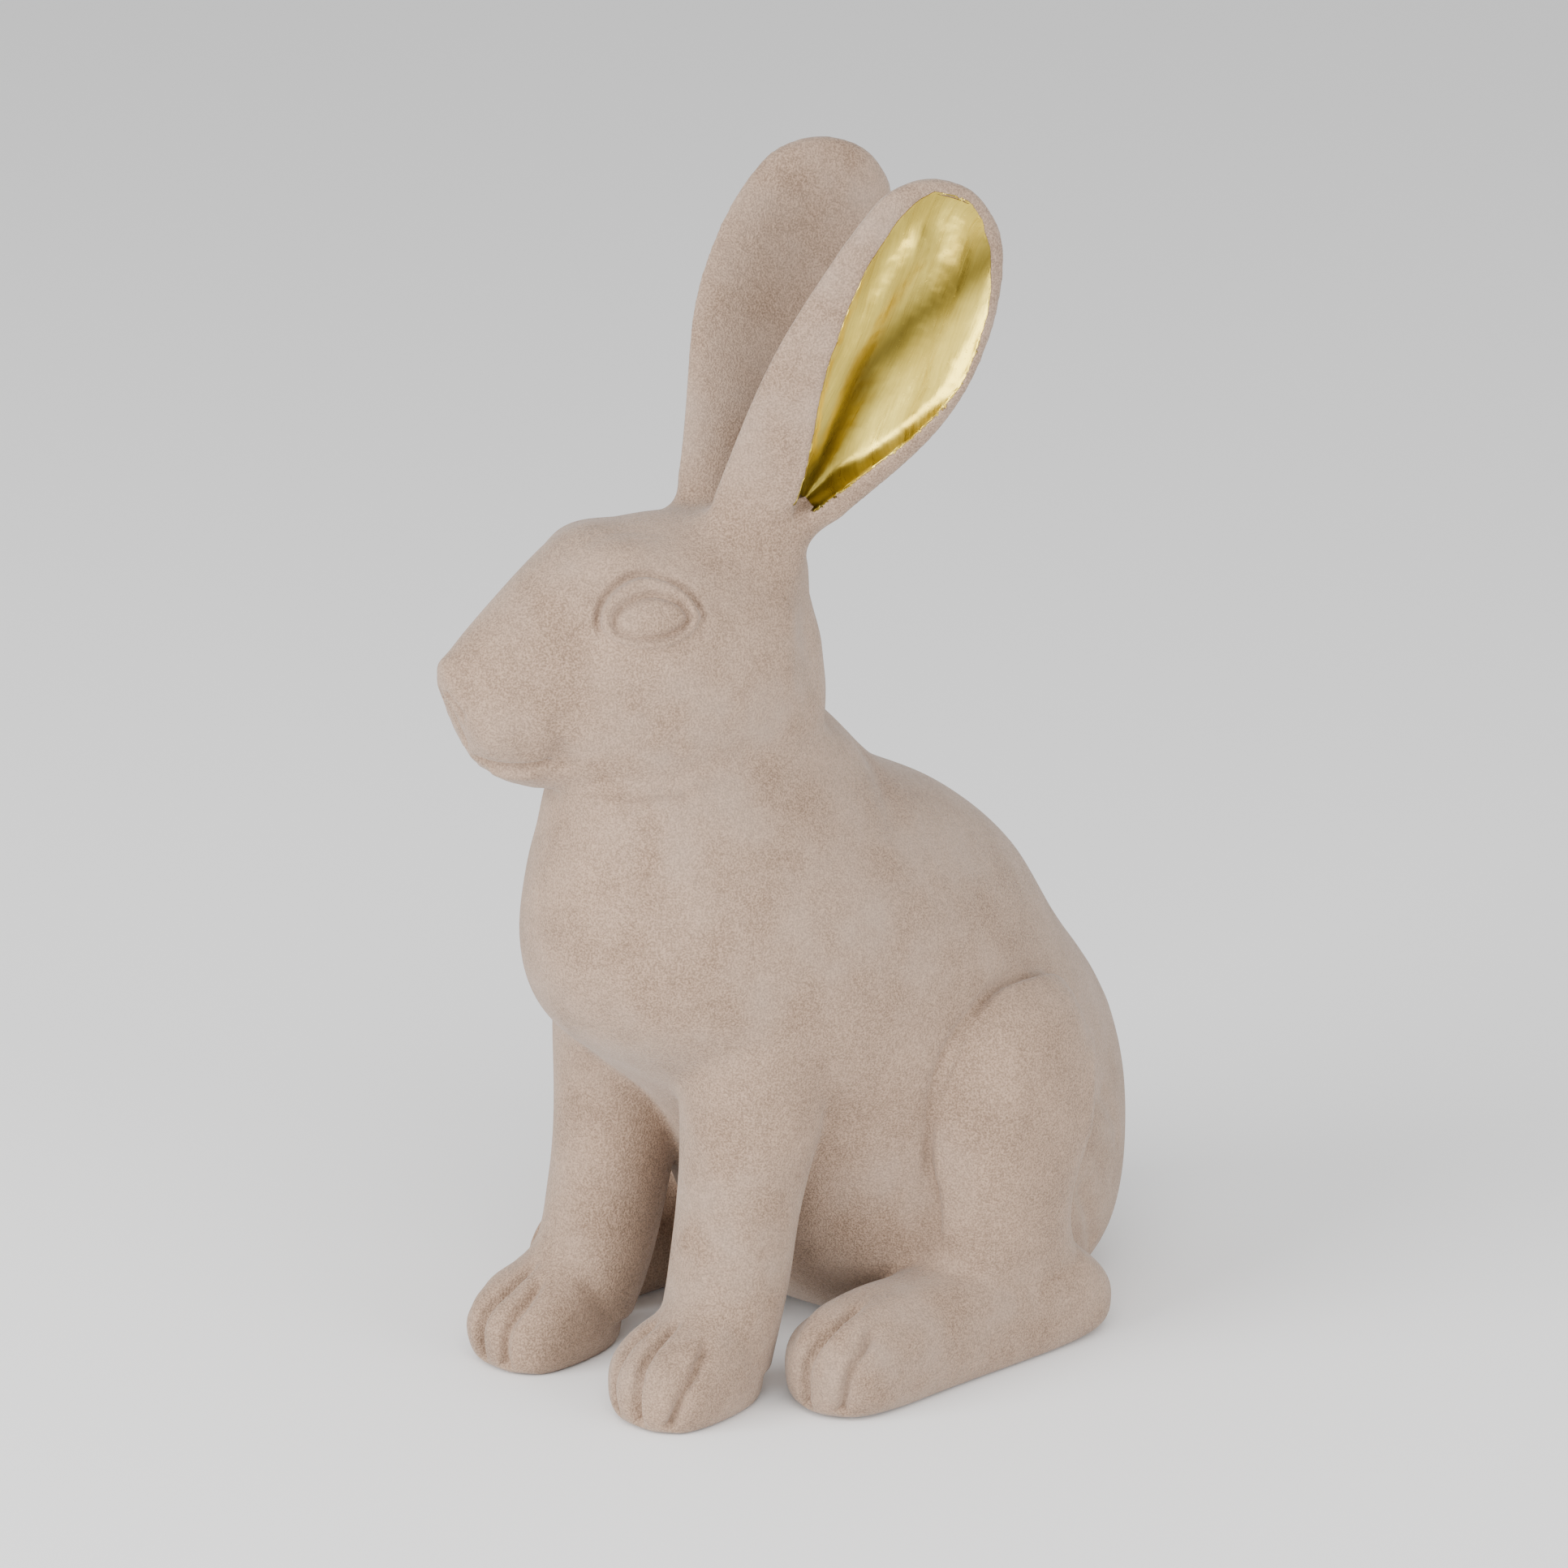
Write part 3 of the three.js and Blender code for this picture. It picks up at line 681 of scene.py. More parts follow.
@dataclass(frozen=True)
class EarFrame:
    """An ear's own frame: across, along and out of the scoop, from the ear's seat on the head."""

    seat: Point = (10.2, 12.6, 202.4)
    lean: float = math.radians(21)
    splay: float = math.radians(12)

    def from_body(self, points: Array, side: Side) -> Array:
        """Bring points to the frame of one ear.

        Args:
            points: points in the body's frame.
            side: the ear's side.

        Returns:
            The same points across, along and out of the scoop.
        """
        local = HEAD.from_body(points) * np.array([side.value, -1, 1]) - np.array(self.seat)
        aside, back, up = local.T
        rise = up * math.cos(self.lean) + back * math.sin(self.lean)
        across = back * math.cos(self.lean) - up * math.sin(self.lean)
        along = rise * math.cos(self.splay) + aside * math.sin(self.splay)
        out = aside * math.cos(self.splay) - rise * math.sin(self.splay)
        return np.column_stack([across, along, out])

    def to_body(self, places: Array, side: Side) -> Array:
        """Bring places in the frame of one ear to the body's frame.

        Args:
            places: places across, along and out of the scoop.
            side: the ear's side.

        Returns:
            The same places in the body's frame.
        """
        across, along, out = places.T
        rise = along * math.cos(self.splay) - out * math.sin(self.splay)
        aside = along * math.sin(self.splay) + out * math.cos(self.splay)
        back = rise * math.sin(self.lean) + across * math.cos(self.lean)
        up = rise * math.cos(self.lean) - across * math.sin(self.lean)
        local = np.column_stack([aside, back, up]) + np.array(self.seat)
        return HEAD.to_body(local * np.array([side.value, -1, 1]))

    def way_out(self, side: Side) -> Array:
        """Return the direction out of the scoop in the body's frame."""
        start, stop = self.to_body(np.array([(0.0, 0.0, 0.0), (0.0, 0.0, 1.0)]), side)
        return stop - start


EAR = EarFrame()


@dataclass(frozen=True)
class ScoopFlare:
    """The lips of an ear's scoop, and how far the flock leaves them wider, at stations along the ear."""

    along: tuple[float, ...] = (12, 21, 34, 54, 74, 87, 95, 99)
    front_lip: tuple[float, ...] = (2.7, 1.6, -2, -6, -3.8, 0.4, 7, 9)
    rear_lip: tuple[float, ...] = (7.5, 11, 17.5, 24.3, 24.3, 20.5, 13, 11)
    front: tuple[float, ...] = (0, 0, 0, 0.2, 2.8, 2.8, 1.5, 0)
    rear: tuple[float, ...] = (0, 1.3, 1.6, 2.0, 1.6, 1.2, 1.0, 0)
    front_reach: float = 9.0
    rear_reach: float = 4.6
    tip: float = 94.5
    foot: float = 12.0
    back: float = -9.0

    def lips(self, along: Array) -> tuple[Array, Array]:
        """Return where the front lip and the rear lip lie across the ear."""
        return np.interp(along, self.along, self.front_lip), np.interp(along, self.along, self.rear_lip)

    def edge(self, places: Array) -> Array:
        """Measure how far places lie inside the lips.

        Args:
            places: places in an ear's frame.

        Returns:
            The distance of each from the nearest lip, below zero outside.
        """
        across, along, _ = places.T
        front_lip, rear_lip = self.lips(along)
        return np.minimum(np.minimum(across - front_lip, rear_lip - across), self.tip - along)

    def widened(self, places: Array) -> Array:
        """Draw the scoop wider.

        Args:
            places: places in an ear's frame.

        Returns:
            The places as they are in the wider scoop.
        """
        across, along = places[:, 0], places[:, 1]
        front_lip, rear_lip = self.lips(along)
        share = np.clip((across - front_lip) / (rear_lip - front_lip), 0, 1)
        rearward = np.interp(along, self.along, self.rear) * share
        forward = np.interp(along, self.along, self.front) * (1 - share)
        shift = rearward - forward
        shift = shift * np.clip(1 - (front_lip - across) / self.front_reach, 0, 1)
        shift = shift * np.clip(1 - (across - rear_lip) / self.rear_reach, 0, 1)
        return np.column_stack([across + shift, along, places[:, 2]])


FLARE = ScoopFlare()


@dataclass(frozen=True)
class Line:
    """A line worked into the coat: a groove where its height is below zero, or a ridge."""

    points: tuple[Point, ...]
    height: float
    width: float
    edge: Edge = Edge.SOFT
    fade: tuple[float, float] = (0.15, 0.15)
    on_head: bool = False


@dataclass(frozen=True)
class Step:
    """How a step rises to one side of its line and dips beside it, in millimetres."""

    rise: float = 1.1
    dip: float = 0.5
    dip_place: float = 0.9
    dip_width: float = 1.7

    def heights(self, left: Array, width: float) -> Array:
        """Return the share of the step's height that each point has."""
        raised = np.exp(-np.maximum(left, 0) / width) * smooth_step(-self.rise, self.rise, left)
        return raised - self.dip * np.exp(-(((left + self.dip_place) / self.dip_width) ** 2))


@dataclass(frozen=True)
class Mass:
    """A soft swelling of the coat, or a hollow where its height is below zero."""

    centre: Point
    reach: Point
    height: float
    on_head: bool = False


@dataclass(frozen=True)
class Fillet:
    """A place where one casting flows into the next without a crease."""

    centre: Point
    reach: Point
    rounds: int
    on_head: bool = False


class Skin:
    """The points of a mesh while they are worked, in millimetres."""

    line_reach: float = 3.5
    pull: float = 0.5
    room: float = 2.0
    step: Step = Step()

    def __init__(self, piece: bpy.types.Object) -> None:
        """Read the points, the normals and the edges.

        Args:
            piece: the object that is worked.
        """
        self.piece = piece
        mesh = piece.data
        count = len(mesh.vertices)
        flat = np.empty(count * 3, dtype=np.float32)
        mesh.vertices.foreach_get("co", flat)
        self.points = flat.reshape(-1, 3).astype(np.float64) / MM
        pairs = np.empty(len(mesh.edges) * 2, dtype=np.int32)
        mesh.edges.foreach_get("vertices", pairs)
        self.pairs = pairs.reshape(-1, 2)
        self.normals = np.zeros_like(self.points)
        self.read_normals()

    def read_normals(self) -> None:
        """Take the vertex normals from the mesh as it is now."""
        flat = np.empty(len(self.points) * 3, dtype=np.float32)
        self.piece.data.vertex_normals.foreach_get("vector", flat)
        self.normals = flat.reshape(-1, 3).astype(np.float64)

    def write(self) -> None:
        """Put the worked points back in the mesh and take its normals again."""
        self.piece.data.vertices.foreach_set("co", (self.points * MM).astype(np.float32).ravel())
        self.piece.data.update()
        self.read_normals()

    def near(self, low: Array, high: Array) -> Array:
        """Return the numbers of the points inside a box."""
        return np.flatnonzero(np.all((self.points > low) & (self.points < high), axis=1))

    def settle(self, places: Array) -> Array:
        """Return places moved onto the surface."""
        found = [self.piece.closest_point_on_mesh(Vector(place * MM))[1] for place in places]
        return np.array([list(spot) for spot in found]) / MM

    def off_border(self) -> Array:
        """Find the points on an open border.

        Returns:
            0 for each of them and 1 for the others.
        """
        edges = np.empty(len(self.piece.data.loops), dtype=np.int32)
        self.piece.data.loops.foreach_get("edge_index", edges)
        single = np.bincount(edges, minlength=len(self.pairs)) == 1
        weights = np.ones(len(self.points))
        weights[self.pairs[single].ravel()] = 0
        return weights

    def relax(self, weights: Array, rounds: int) -> None:
        """Smooth the points by their neighbours.

        Args:
            weights: how strongly each point is smoothed, from 0 to 1.
            rounds: how many times.
        """
        live = (weights[self.pairs] > 0).any(axis=1)
        chosen, compact = np.unique(self.pairs[live], return_inverse=True)
        first, second = compact.reshape(-1, 2).T
        count = len(chosen)
        around = np.bincount(first, minlength=count) + np.bincount(second, minlength=count)
        spots, share = self.points[chosen].T, self.pull * weights[chosen]
        for _ in range(rounds):
            for line in spots:
                total = np.bincount(first, line[second], count) + np.bincount(second, line[first], count)
                line += share * (total / around - line)
        self.points[chosen] = spots.T

    def shift(self, chosen: Array, heights: Array, way: Array | None = None) -> None:
        """Move points out along their normals, or along one given way."""
        out = self.normals[chosen] if way is None else way
        self.points[chosen] += heights[:, None] * out

    def work_line(self, line: Line, side: Side, way: Array | None = None) -> None:
        """Work one line into the surface.

        Args:
            line: the line, given for the left side.
            side: the side of the hare that it is worked on.
            way: the direction that the points move in, instead of along their normals.
        """
        route = self.settle(placed(line.points, side, line.on_head, smooth=True))
        reach = line.width * self.line_reach
        chosen = self.near(route.min(axis=0) - reach, route.max(axis=0) + reach)
        if not len(chosen):
            return
        gap, share, hand = measure(self.points[chosen], self.normals[chosen], route)
        fade = smooth_step(0, line.fade[0], share) * smooth_step(0, line.fade[1], 1 - share)
        if line.edge is Edge.STEP:
            shape = self.step.heights(hand * side.value, line.width)
        else:
            shape = np.exp(-((gap / line.width) ** 2))
        shape = shape * (gap < reach)
        self.shift(chosen, line.height * shape * fade, way)

    def work_lines(self, lines: tuple[Line, ...]) -> None:
        """Work lines into both sides."""
        for side, line in product(Side, lines):
            self.work_line(line, side)

    def work_masses(self, masses: tuple[Mass, ...]) -> None:
        """Work masses into both sides."""
        for side, mass in product(Side, masses):
            self.work_mass(mass, side)

    def work_mass(self, mass: Mass, side: Side) -> None:
        """Swell or hollow the surface softly round a place."""
        chosen, share = self.inside(mass.centre, mass.reach, mass.on_head, side)
        self.shift(chosen, mass.height * share)

    def soften(self, fillet: Fillet, side: Side) -> None:
        """Smooth the surface round a place.

        Args:
            fillet: the place and how much it is smoothed.
            side: the side of the hare.
        """
        chosen, share = self.inside(fillet.centre, fillet.reach, fillet.on_head, side)
        weights = np.zeros(len(self.points))
        weights[chosen] = share
        self.relax(weights, fillet.rounds)

    def flare_ear(self, side: Side) -> None:
        """Draw the scoop of one ear wider.

        Args:
            side: the ear's side.
        """
        places = EAR.from_body(self.points, side)
        chosen = np.flatnonzero((places[:, 1] > FLARE.foot) & (places[:, 2] > FLARE.back))
        self.points[chosen] = EAR.to_body(FLARE.widened(places[chosen]), side)

    def hold_inside(self, low: Array, high: Array) -> None:
        """Draw the outermost points in, so that none is outside a box.

        Args:
            low: the box's lowest corner.
            high: its highest corner.
        """
        for line, bottom, top in zip(self.points.T, low, high):
            for way, limit in ((1, top), (-1, -bottom)):
                depth = way * line - limit + self.room
                over = float(depth.max()) - self.room
                if over > 0:
                    near = depth > 0
                    line[near] = way * (limit - self.room + depth[near] * self.room / (self.room + over))

    def inside(self, centre: Point, reach: Point, on_head: bool, side: Side) -> tuple[Array, Array]:
        """Find the points inside an ellipsoid.

        Args:
            centre: its middle, given for the left side.
            reach: its half sizes.
            on_head: whether it is given in the head's frame.
            side: the side that it is wanted on.

        Returns:
            The numbers of the points and how near each is to the middle, from 0 to 1.
        """
        middle = placed((centre,), side, on_head)[0]
        room = max(reach)
        chosen = self.near(middle - room, middle + room)
        local = self.points[chosen]
        if on_head:
            local = HEAD.from_body(local)
            middle = np.array(centre) * side.mirror
        far = np.linalg.norm((local - middle) / np.array(reach), axis=1)
        kept = far < 1
        return chosen[kept], (1 - far[kept] ** 2) ** 2


def placed(points: tuple[Point, ...], side: Side, on_head: bool, smooth: bool = False) -> Array:
    """Bring places of the left side to the body's frame on a chosen side.

    Args:
        points: the places, in millimetres.
        side: the side that they are wanted on.
        on_head: whether they are given in the head's frame.
        smooth: whether a smooth curve is drawn through them.

    Returns:
        The places, or the points of the curve.
    """
    places = np.array(points, dtype=float) * side.mirror
    if smooth:
        places = curve_through(places)
    return HEAD.to_body(places) if on_head else places


def curve_through(places: Array) -> Array:
    """Draw a smooth curve through places.

    Args:
        places: the places in order.

    Returns:
        Points about one curve step apart.
    """
    ends = [2 * places[0] - places[1], *places, 2 * places[-1] - places[-2]]
    found = []
    for before, start, stop, after in zip(ends, ends[1:], ends[2:], ends[3:]):
        count = max(2, int(np.linalg.norm(stop - start) / CURVE_STEP_MM))
        for share in np.arange(count) / count:
            bend = (2 * before - 5 * start + 4 * stop - after) * share**2
            turn = (3 * start - before - 3 * stop + after) * share**3
            found.append(0.5 * (2 * start + (stop - before) * share + bend + turn))
    found.append(places[-1])
    return np.array(found)


def measure(points: Array, normals: Array, route: Array) -> tuple[Array, Array, Array]:
    """Measure points against a route on the surface.

    Args:
        points: the points.
        normals: their normals.
        route: the route's own points.

    Returns:
        Each point's distance from the route, its share of the way along it, and how far it lies to the left.
    """
    best = np.full(len(points), np.inf)
    share = np.zeros(len(points))
    hand = np.zeros(len(points))
    last = len(route) - 1
    for number, (start, stop) in enumerate(zip(route, route[1:])):
        along = stop - start
        square = max(float(along @ along), LEAST_SQUARE_MM2)
        part = np.clip(((points - start) @ along) / square, 0, 1)
        offset = points - (start + part[:, None] * along)
        gap = np.linalg.norm(offset, axis=1)
        nearer = gap < best
        best[nearer] = gap[nearer]
        share[nearer] = (number + part[nearer]) / last
        left = np.cross(normals[nearer], along / math.sqrt(square))
        hand[nearer] = np.einsum("ij,ij->i", offset[nearer], left)
    return best, share, hand


@dataclass(frozen=True)
class Eye:
    """A closed, flocked eye: a low ball, a groove round it, a rolled lid and a second groove."""

    forward: float = 18.0
    up: float = 190.5
    tilt: float = math.radians(4)
    ball: Point = (8.3, 5.4, 3.5)
    lid: Point = (11.7, 9.9, 6.6)
    ball_height: float = 1.2
    lid_height: float = 1.15
    ball_groove: float = -1.0
    lid_groove: float = -1.55
    groove_width: float = 0.8
    roundness: float = 1.85
    aside: float = 20.0
    room: float = 22.0
    inner: float = 8.0
    blend: float = 1.6
    under: tuple[float, float] = (0.5, -2.5)
    front: tuple[float, float] = (4.0, -4.0)
    ball_fade: float = 0.7
    lid_fade: float = 0.85
    probe: float = 0.05
    least_slope: float = 0.02

    def _reach(self, along: Array, above: Array, almond: Point) -> Array:
        """Measure places against an almond round the eye's middle.

        Args:
            along: how far each place lies along the almond.
            above: how far it lies above its axis.
            almond: the almond's half length, upper height and lower height.

        Returns:
            0 in the middle and 1 on the edge.
        """
        height = np.where(above > 0, almond[1], almond[2])
        length_part = (np.abs(along) / almond[0]) ** self.roundness
        height_part = (np.abs(above) / height) ** self.roundness
        return (length_part + height_part) ** (1 / self.roundness)

    def _outside(self, along: Array, above: Array, almond: Point) -> Array:
        """Measure how far places lie outside an almond's edge.

        Args:
            along: how far each place lies along the almond.
            above: how far it lies above its axis.
            almond: the almond's half length, upper height and lower height.

        Returns:
            The distance, below zero inside.
        """
        here = self._reach(along, above, almond)
        slope_along = (self._reach(along + self.probe, above, almond) - here) / self.probe
        slope_above = (self._reach(along, above + self.probe, almond) - here) / self.probe
        return (here - 1) / np.maximum(np.hypot(slope_along, slope_above), self.least_slope)

    def work(self, skin: Skin, side: Side) -> None:
        """Model the eye on one side of the head.

        Args:
            skin: the coat's skin.
            side: the eye's side.
        """
        centre = placed(((self.aside, self.forward, self.up),), side, True)[0]
        chosen = skin.near(centre - self.room, centre + self.room)
        local = HEAD.from_body(skin.points[chosen]) * side.mirror
        keep = local[:, 0] > self.inner
        chosen, local = chosen[keep], local[keep]
        back, up = self.forward - local[:, 1], local[:, 2] - self.up
        along = back * math.cos(self.tilt) + up * math.sin(self.tilt)
        above = up * math.cos(self.tilt) - back * math.sin(self.tilt)
        ball = self._outside(along, above, self.ball)
        lid = self._outside(along, above, self.lid)
        dome = np.sqrt(np.clip(1 - self._reach(along, above, self.ball) ** 2, 0, 1))
        between = smooth_step(0, self.blend, ball) * smooth_step(0, self.blend, -lid)
        under = smooth_step(*self.under, above)
        front_under = under * smooth_step(*self.front, along)
        ball_groove = self.ball_groove * np.exp(-((ball / self.groove_width) ** 2))
        lid_groove = self.lid_groove * np.exp(-((lid / self.groove_width) ** 2))
        heights = self.ball_height * dome + self.lid_height * between
        heights += ball_groove * (1 - self.ball_fade * front_under)
        heights += lid_groove * (1 - self.lid_fade * under)
        skin.shift(chosen, heights)


@dataclass(frozen=True)
class Face:
    """The modelled face: eyes, nose, lips and cheeks."""

    eye: Eye = Eye()
    masses: tuple[Mass, ...] = (
        Mass((3, 59, 162), (10, 8, 10), -1.2, True),
        Mass((1, 61, 168), (8, 6, 6), -0.5, True),
        Mass((9, 50, 163.5), (7, 9, 8), 1.1, True),
        Mass((15, 41, 167), (6, 7, 9), 0.8, True),
        Mass((7, 46, 152.5), (8, 9, 5), 0.7, True),
        Mass((13.5, 36.5, 157), (6, 6, 8), -1.1, True),
        Mass((1, 60, 178), (7, 6, 6), 0.3, True),
        Mass((18, 33, 187), (6, 7, 7), -0.9, True),
        Mass((13, 21, 204.5), (8, 15, 6.5), 1.5, True),
        Mass((17, 32, 195), (6, 4, 7), 0.8, True),
        Mass((24.5, 4.5, 190.5), (6, 6, 4), 0.9, True),
        Mass((24, 14, 179), (8, 14, 7), 0.7, True),
        Mass((22, 3, 168), (12, 18, 14), 0.9, True),
    )
    lines: tuple[Line, ...] = (
        Line(((0.5, 55.5, 157.5), (4, 53.5, 156.2), (8, 47.8, 155.5), (11, 42, 155.6), (12.8, 37.5, 156.5)),
             -2.0, 1.1, fade=(0.25, 0.12), on_head=True),
        Line(((15.5, 40, 170), (15.3, 38.6, 164.5), (13.8, 37, 158.5), (11.6, 35.6, 153.5)),
             -0.8, 2.3, on_head=True),
        Line(((3, 51.5, 153.5), (7.5, 46, 152.9), (10, 41, 153)), 0.6, 1.6, on_head=True),
        Line(((0.8, 61, 172.5), (2.6, 60.2, 171.6), (4.8, 58.8, 169.4), (5.4, 57.6, 166)),
             -1.5, 1.1, fade=(0.02, 0.3), on_head=True),
        Line(((2.6, 60.4, 178.5), (4.6, 58.7, 177.7), (5.6, 57.8, 175.4)), -0.9, 1.5, on_head=True),
        Line(((6, 56.5, 181), (6.8, 56.5, 176), (5.6, 58, 171)), -0.5, 1.8, on_head=True),
        Line(((25, 9, 189.7), (24.8, 5, 191), (24, 0.5, 193)), -0.7, 1.3, on_head=True),
        Line(((19.5, 27, 148.5), (23.5, 19.3, 149.3), (27, 9, 150.8)), -0.9, 3.0, on_head=True),
    )
    philtrum: Line = Line(((0, 61, 171), (0, 59, 166), (0, 55.5, 158)), -0.9, 1.2, on_head=True)

    def work(self, skin: Skin) -> None:
        """Model both sides of the face.

        Args:
            skin: the coat's skin.
        """
        skin.work_masses(self.masses)
        skin.write()
        for side in Side:
            self.eye.work(skin, side)
            for line in self.lines:
                skin.work_line(line, side)
        skin.work_line(self.philtrum, Side.LEFT)
        skin.write()


@dataclass(frozen=True)
class Paws:
    """The toes and the grooves between them, given for the left side."""

    masses: tuple[Mass, ...] = (
        Mass((23.5, -79, 11), (6, 8, 11), 1.2),
        Mass((32, -79, 11), (6, 8, 11), 1.2),
        Mass((41, -74, 11), (6, 9, 10), 0.9),
        Mass((44, -44, 13), (6, 9, 11), 0.9),
        Mass((53.5, -43, 13), (6, 9, 11), 0.9),
    )
    lines: tuple[Line, ...] = (
        Line(((20.5, -67, 22.5), (19, -74, 18), (19.5, -79, 13), (19.8, -80.8, 8), (20, -81, 1)),
             -2.2, 1.25, fade=TOE_FADE_SHARES),
        Line(((25.5, -64, 24.5), (26, -72, 19.5), (26.5, -77, 16), (28, -80.5, 11), (27.8, -81, 1)),
             -2.5, 1.25, fade=TOE_FADE_SHARES),
        Line(((35.5, -64, 23), (37.8, -71.5, 16), (37.8, -75.5, 11.5), (35.5, -78.5, 1)),
             -2.4, 1.25, fade=TOE_FADE_SHARES),
        Line(((49, -27, 26), (49.5, -36, 23.3), (49, -42, 19), (47.7, -45.5, 13), (47.3, -46, 1)),
             -2.4, 1.3, fade=TOE_FADE_SHARES),
        Line(((57.5, -31, 23), (59.2, -39, 18), (58.8, -42, 13.5), (57.5, -44, 1)),
             -2.2, 1.25, fade=TOE_FADE_SHARES),
    )

    def work(self, skin: Skin) -> None:
        """Part the toes of all four paws.

        Args:
            skin: the coat's skin.
        """
        skin.work_masses(self.masses)
        skin.write()
        skin.work_lines(self.lines)
        skin.write()


@dataclass(frozen=True)
class Body:
    """The soft forms of the trunk and legs."""

    fillets: tuple[Fillet, ...] = (
        Fillet((10.2, -12, 201), (24, 24, 15), 260, True),
        Fillet((13, -25, 198), (17, 17, 13), 360, True),
        Fillet((24, -42, 84), (24, 24, 26), 90),
        Fillet((28, -61, 27), (19, 17, 15), 150),
        Fillet((46, -8, 26), (16, 16, 12), 60),
        Fillet((44, 58, 60), (16, 15, 34), 60),
    )
    neck: Fillet = Fillet((0, -38, 152), (46, 50, 14), 60)
    trimmed_paw: Mass = Mass((57, -42, 15), (13, 14, 17), -2.6)
    masses: tuple[Mass, ...] = (
        Mass((55, 14, 66), (13, 20, 24), 0.8),
    )
    ear_roots: tuple[Mass, ...] = (
        Mass((10, -27, 199), (15, 13, 13), 4.4, True),
        Mass((8, -30, 205), (12, 9, 12), 1.6, True),
    )
    nape: tuple[Mass, ...] = (
        Mass((13, -27, 186), (17, 13, 13), -2.4, True),
        Mass((18, -26, 176), (16, 13, 14), -2.7, True),
    )
    lines: tuple[Line, ...] = (
        Line(((21.5, -16, 161.5), (12, 0, 152), (17, 2.8, 144.8), (24, 0.5, 140),
              (31, -3, 135), (36, -10, 128)), -0.9, 4.0),
        Line(((41, 52, 78), (44.5, 41, 86), (49, 28, 91.5), (49.3, 15, 91.2), (50, 5, 87),
              (49.7, -2, 80.5), (48.5, -4.5, 72), (47.2, -4.2, 63), (47, -3.2, 54), (48.6, -2.8, 46),
              (49, -2.3, 38.8), (47.5, -2, 29.5)), 2.0, 6.0, Edge.STEP, (0.22, 0.12)),
        Line(((54, 46, 80), (58, 38, 70), (59, 35, 60), (57, 36, 50)), 0.6, 3.0),
        Line(((47.5, 44.5, 37), (46, 50, 27.5), (43.8, 53.7, 19.8), (40, 58, 14)), -1.2, 2.6),
        Line(((43.5, 55.3, 57), (40.3, 64.8, 45.5), (38.4, 68.1, 36.3)), -0.7, 2.6),
        Line(((55.2, 1.4, 52), (59.2, 7, 42)), 0.5, 4.0),
    )

    def work(self, skin: Skin) -> None:
        """Blend the castings and add the folds between them.

        Args:
            skin: the coat's skin.
        """
        skin.work_masses(self.ear_roots)
        skin.write()
        for side, fillet in product(Side, self.fillets):
            skin.soften(fillet, side)
        skin.soften(self.neck, Side.LEFT)
        for side in Side:
            skin.flare_ear(side)
        skin.write()
        skin.work_masses(self.masses + self.nape)
        skin.work_mass(self.trimmed_paw, Side.RIGHT)
        skin.write()
        skin.work_lines(self.lines)
        skin.write()


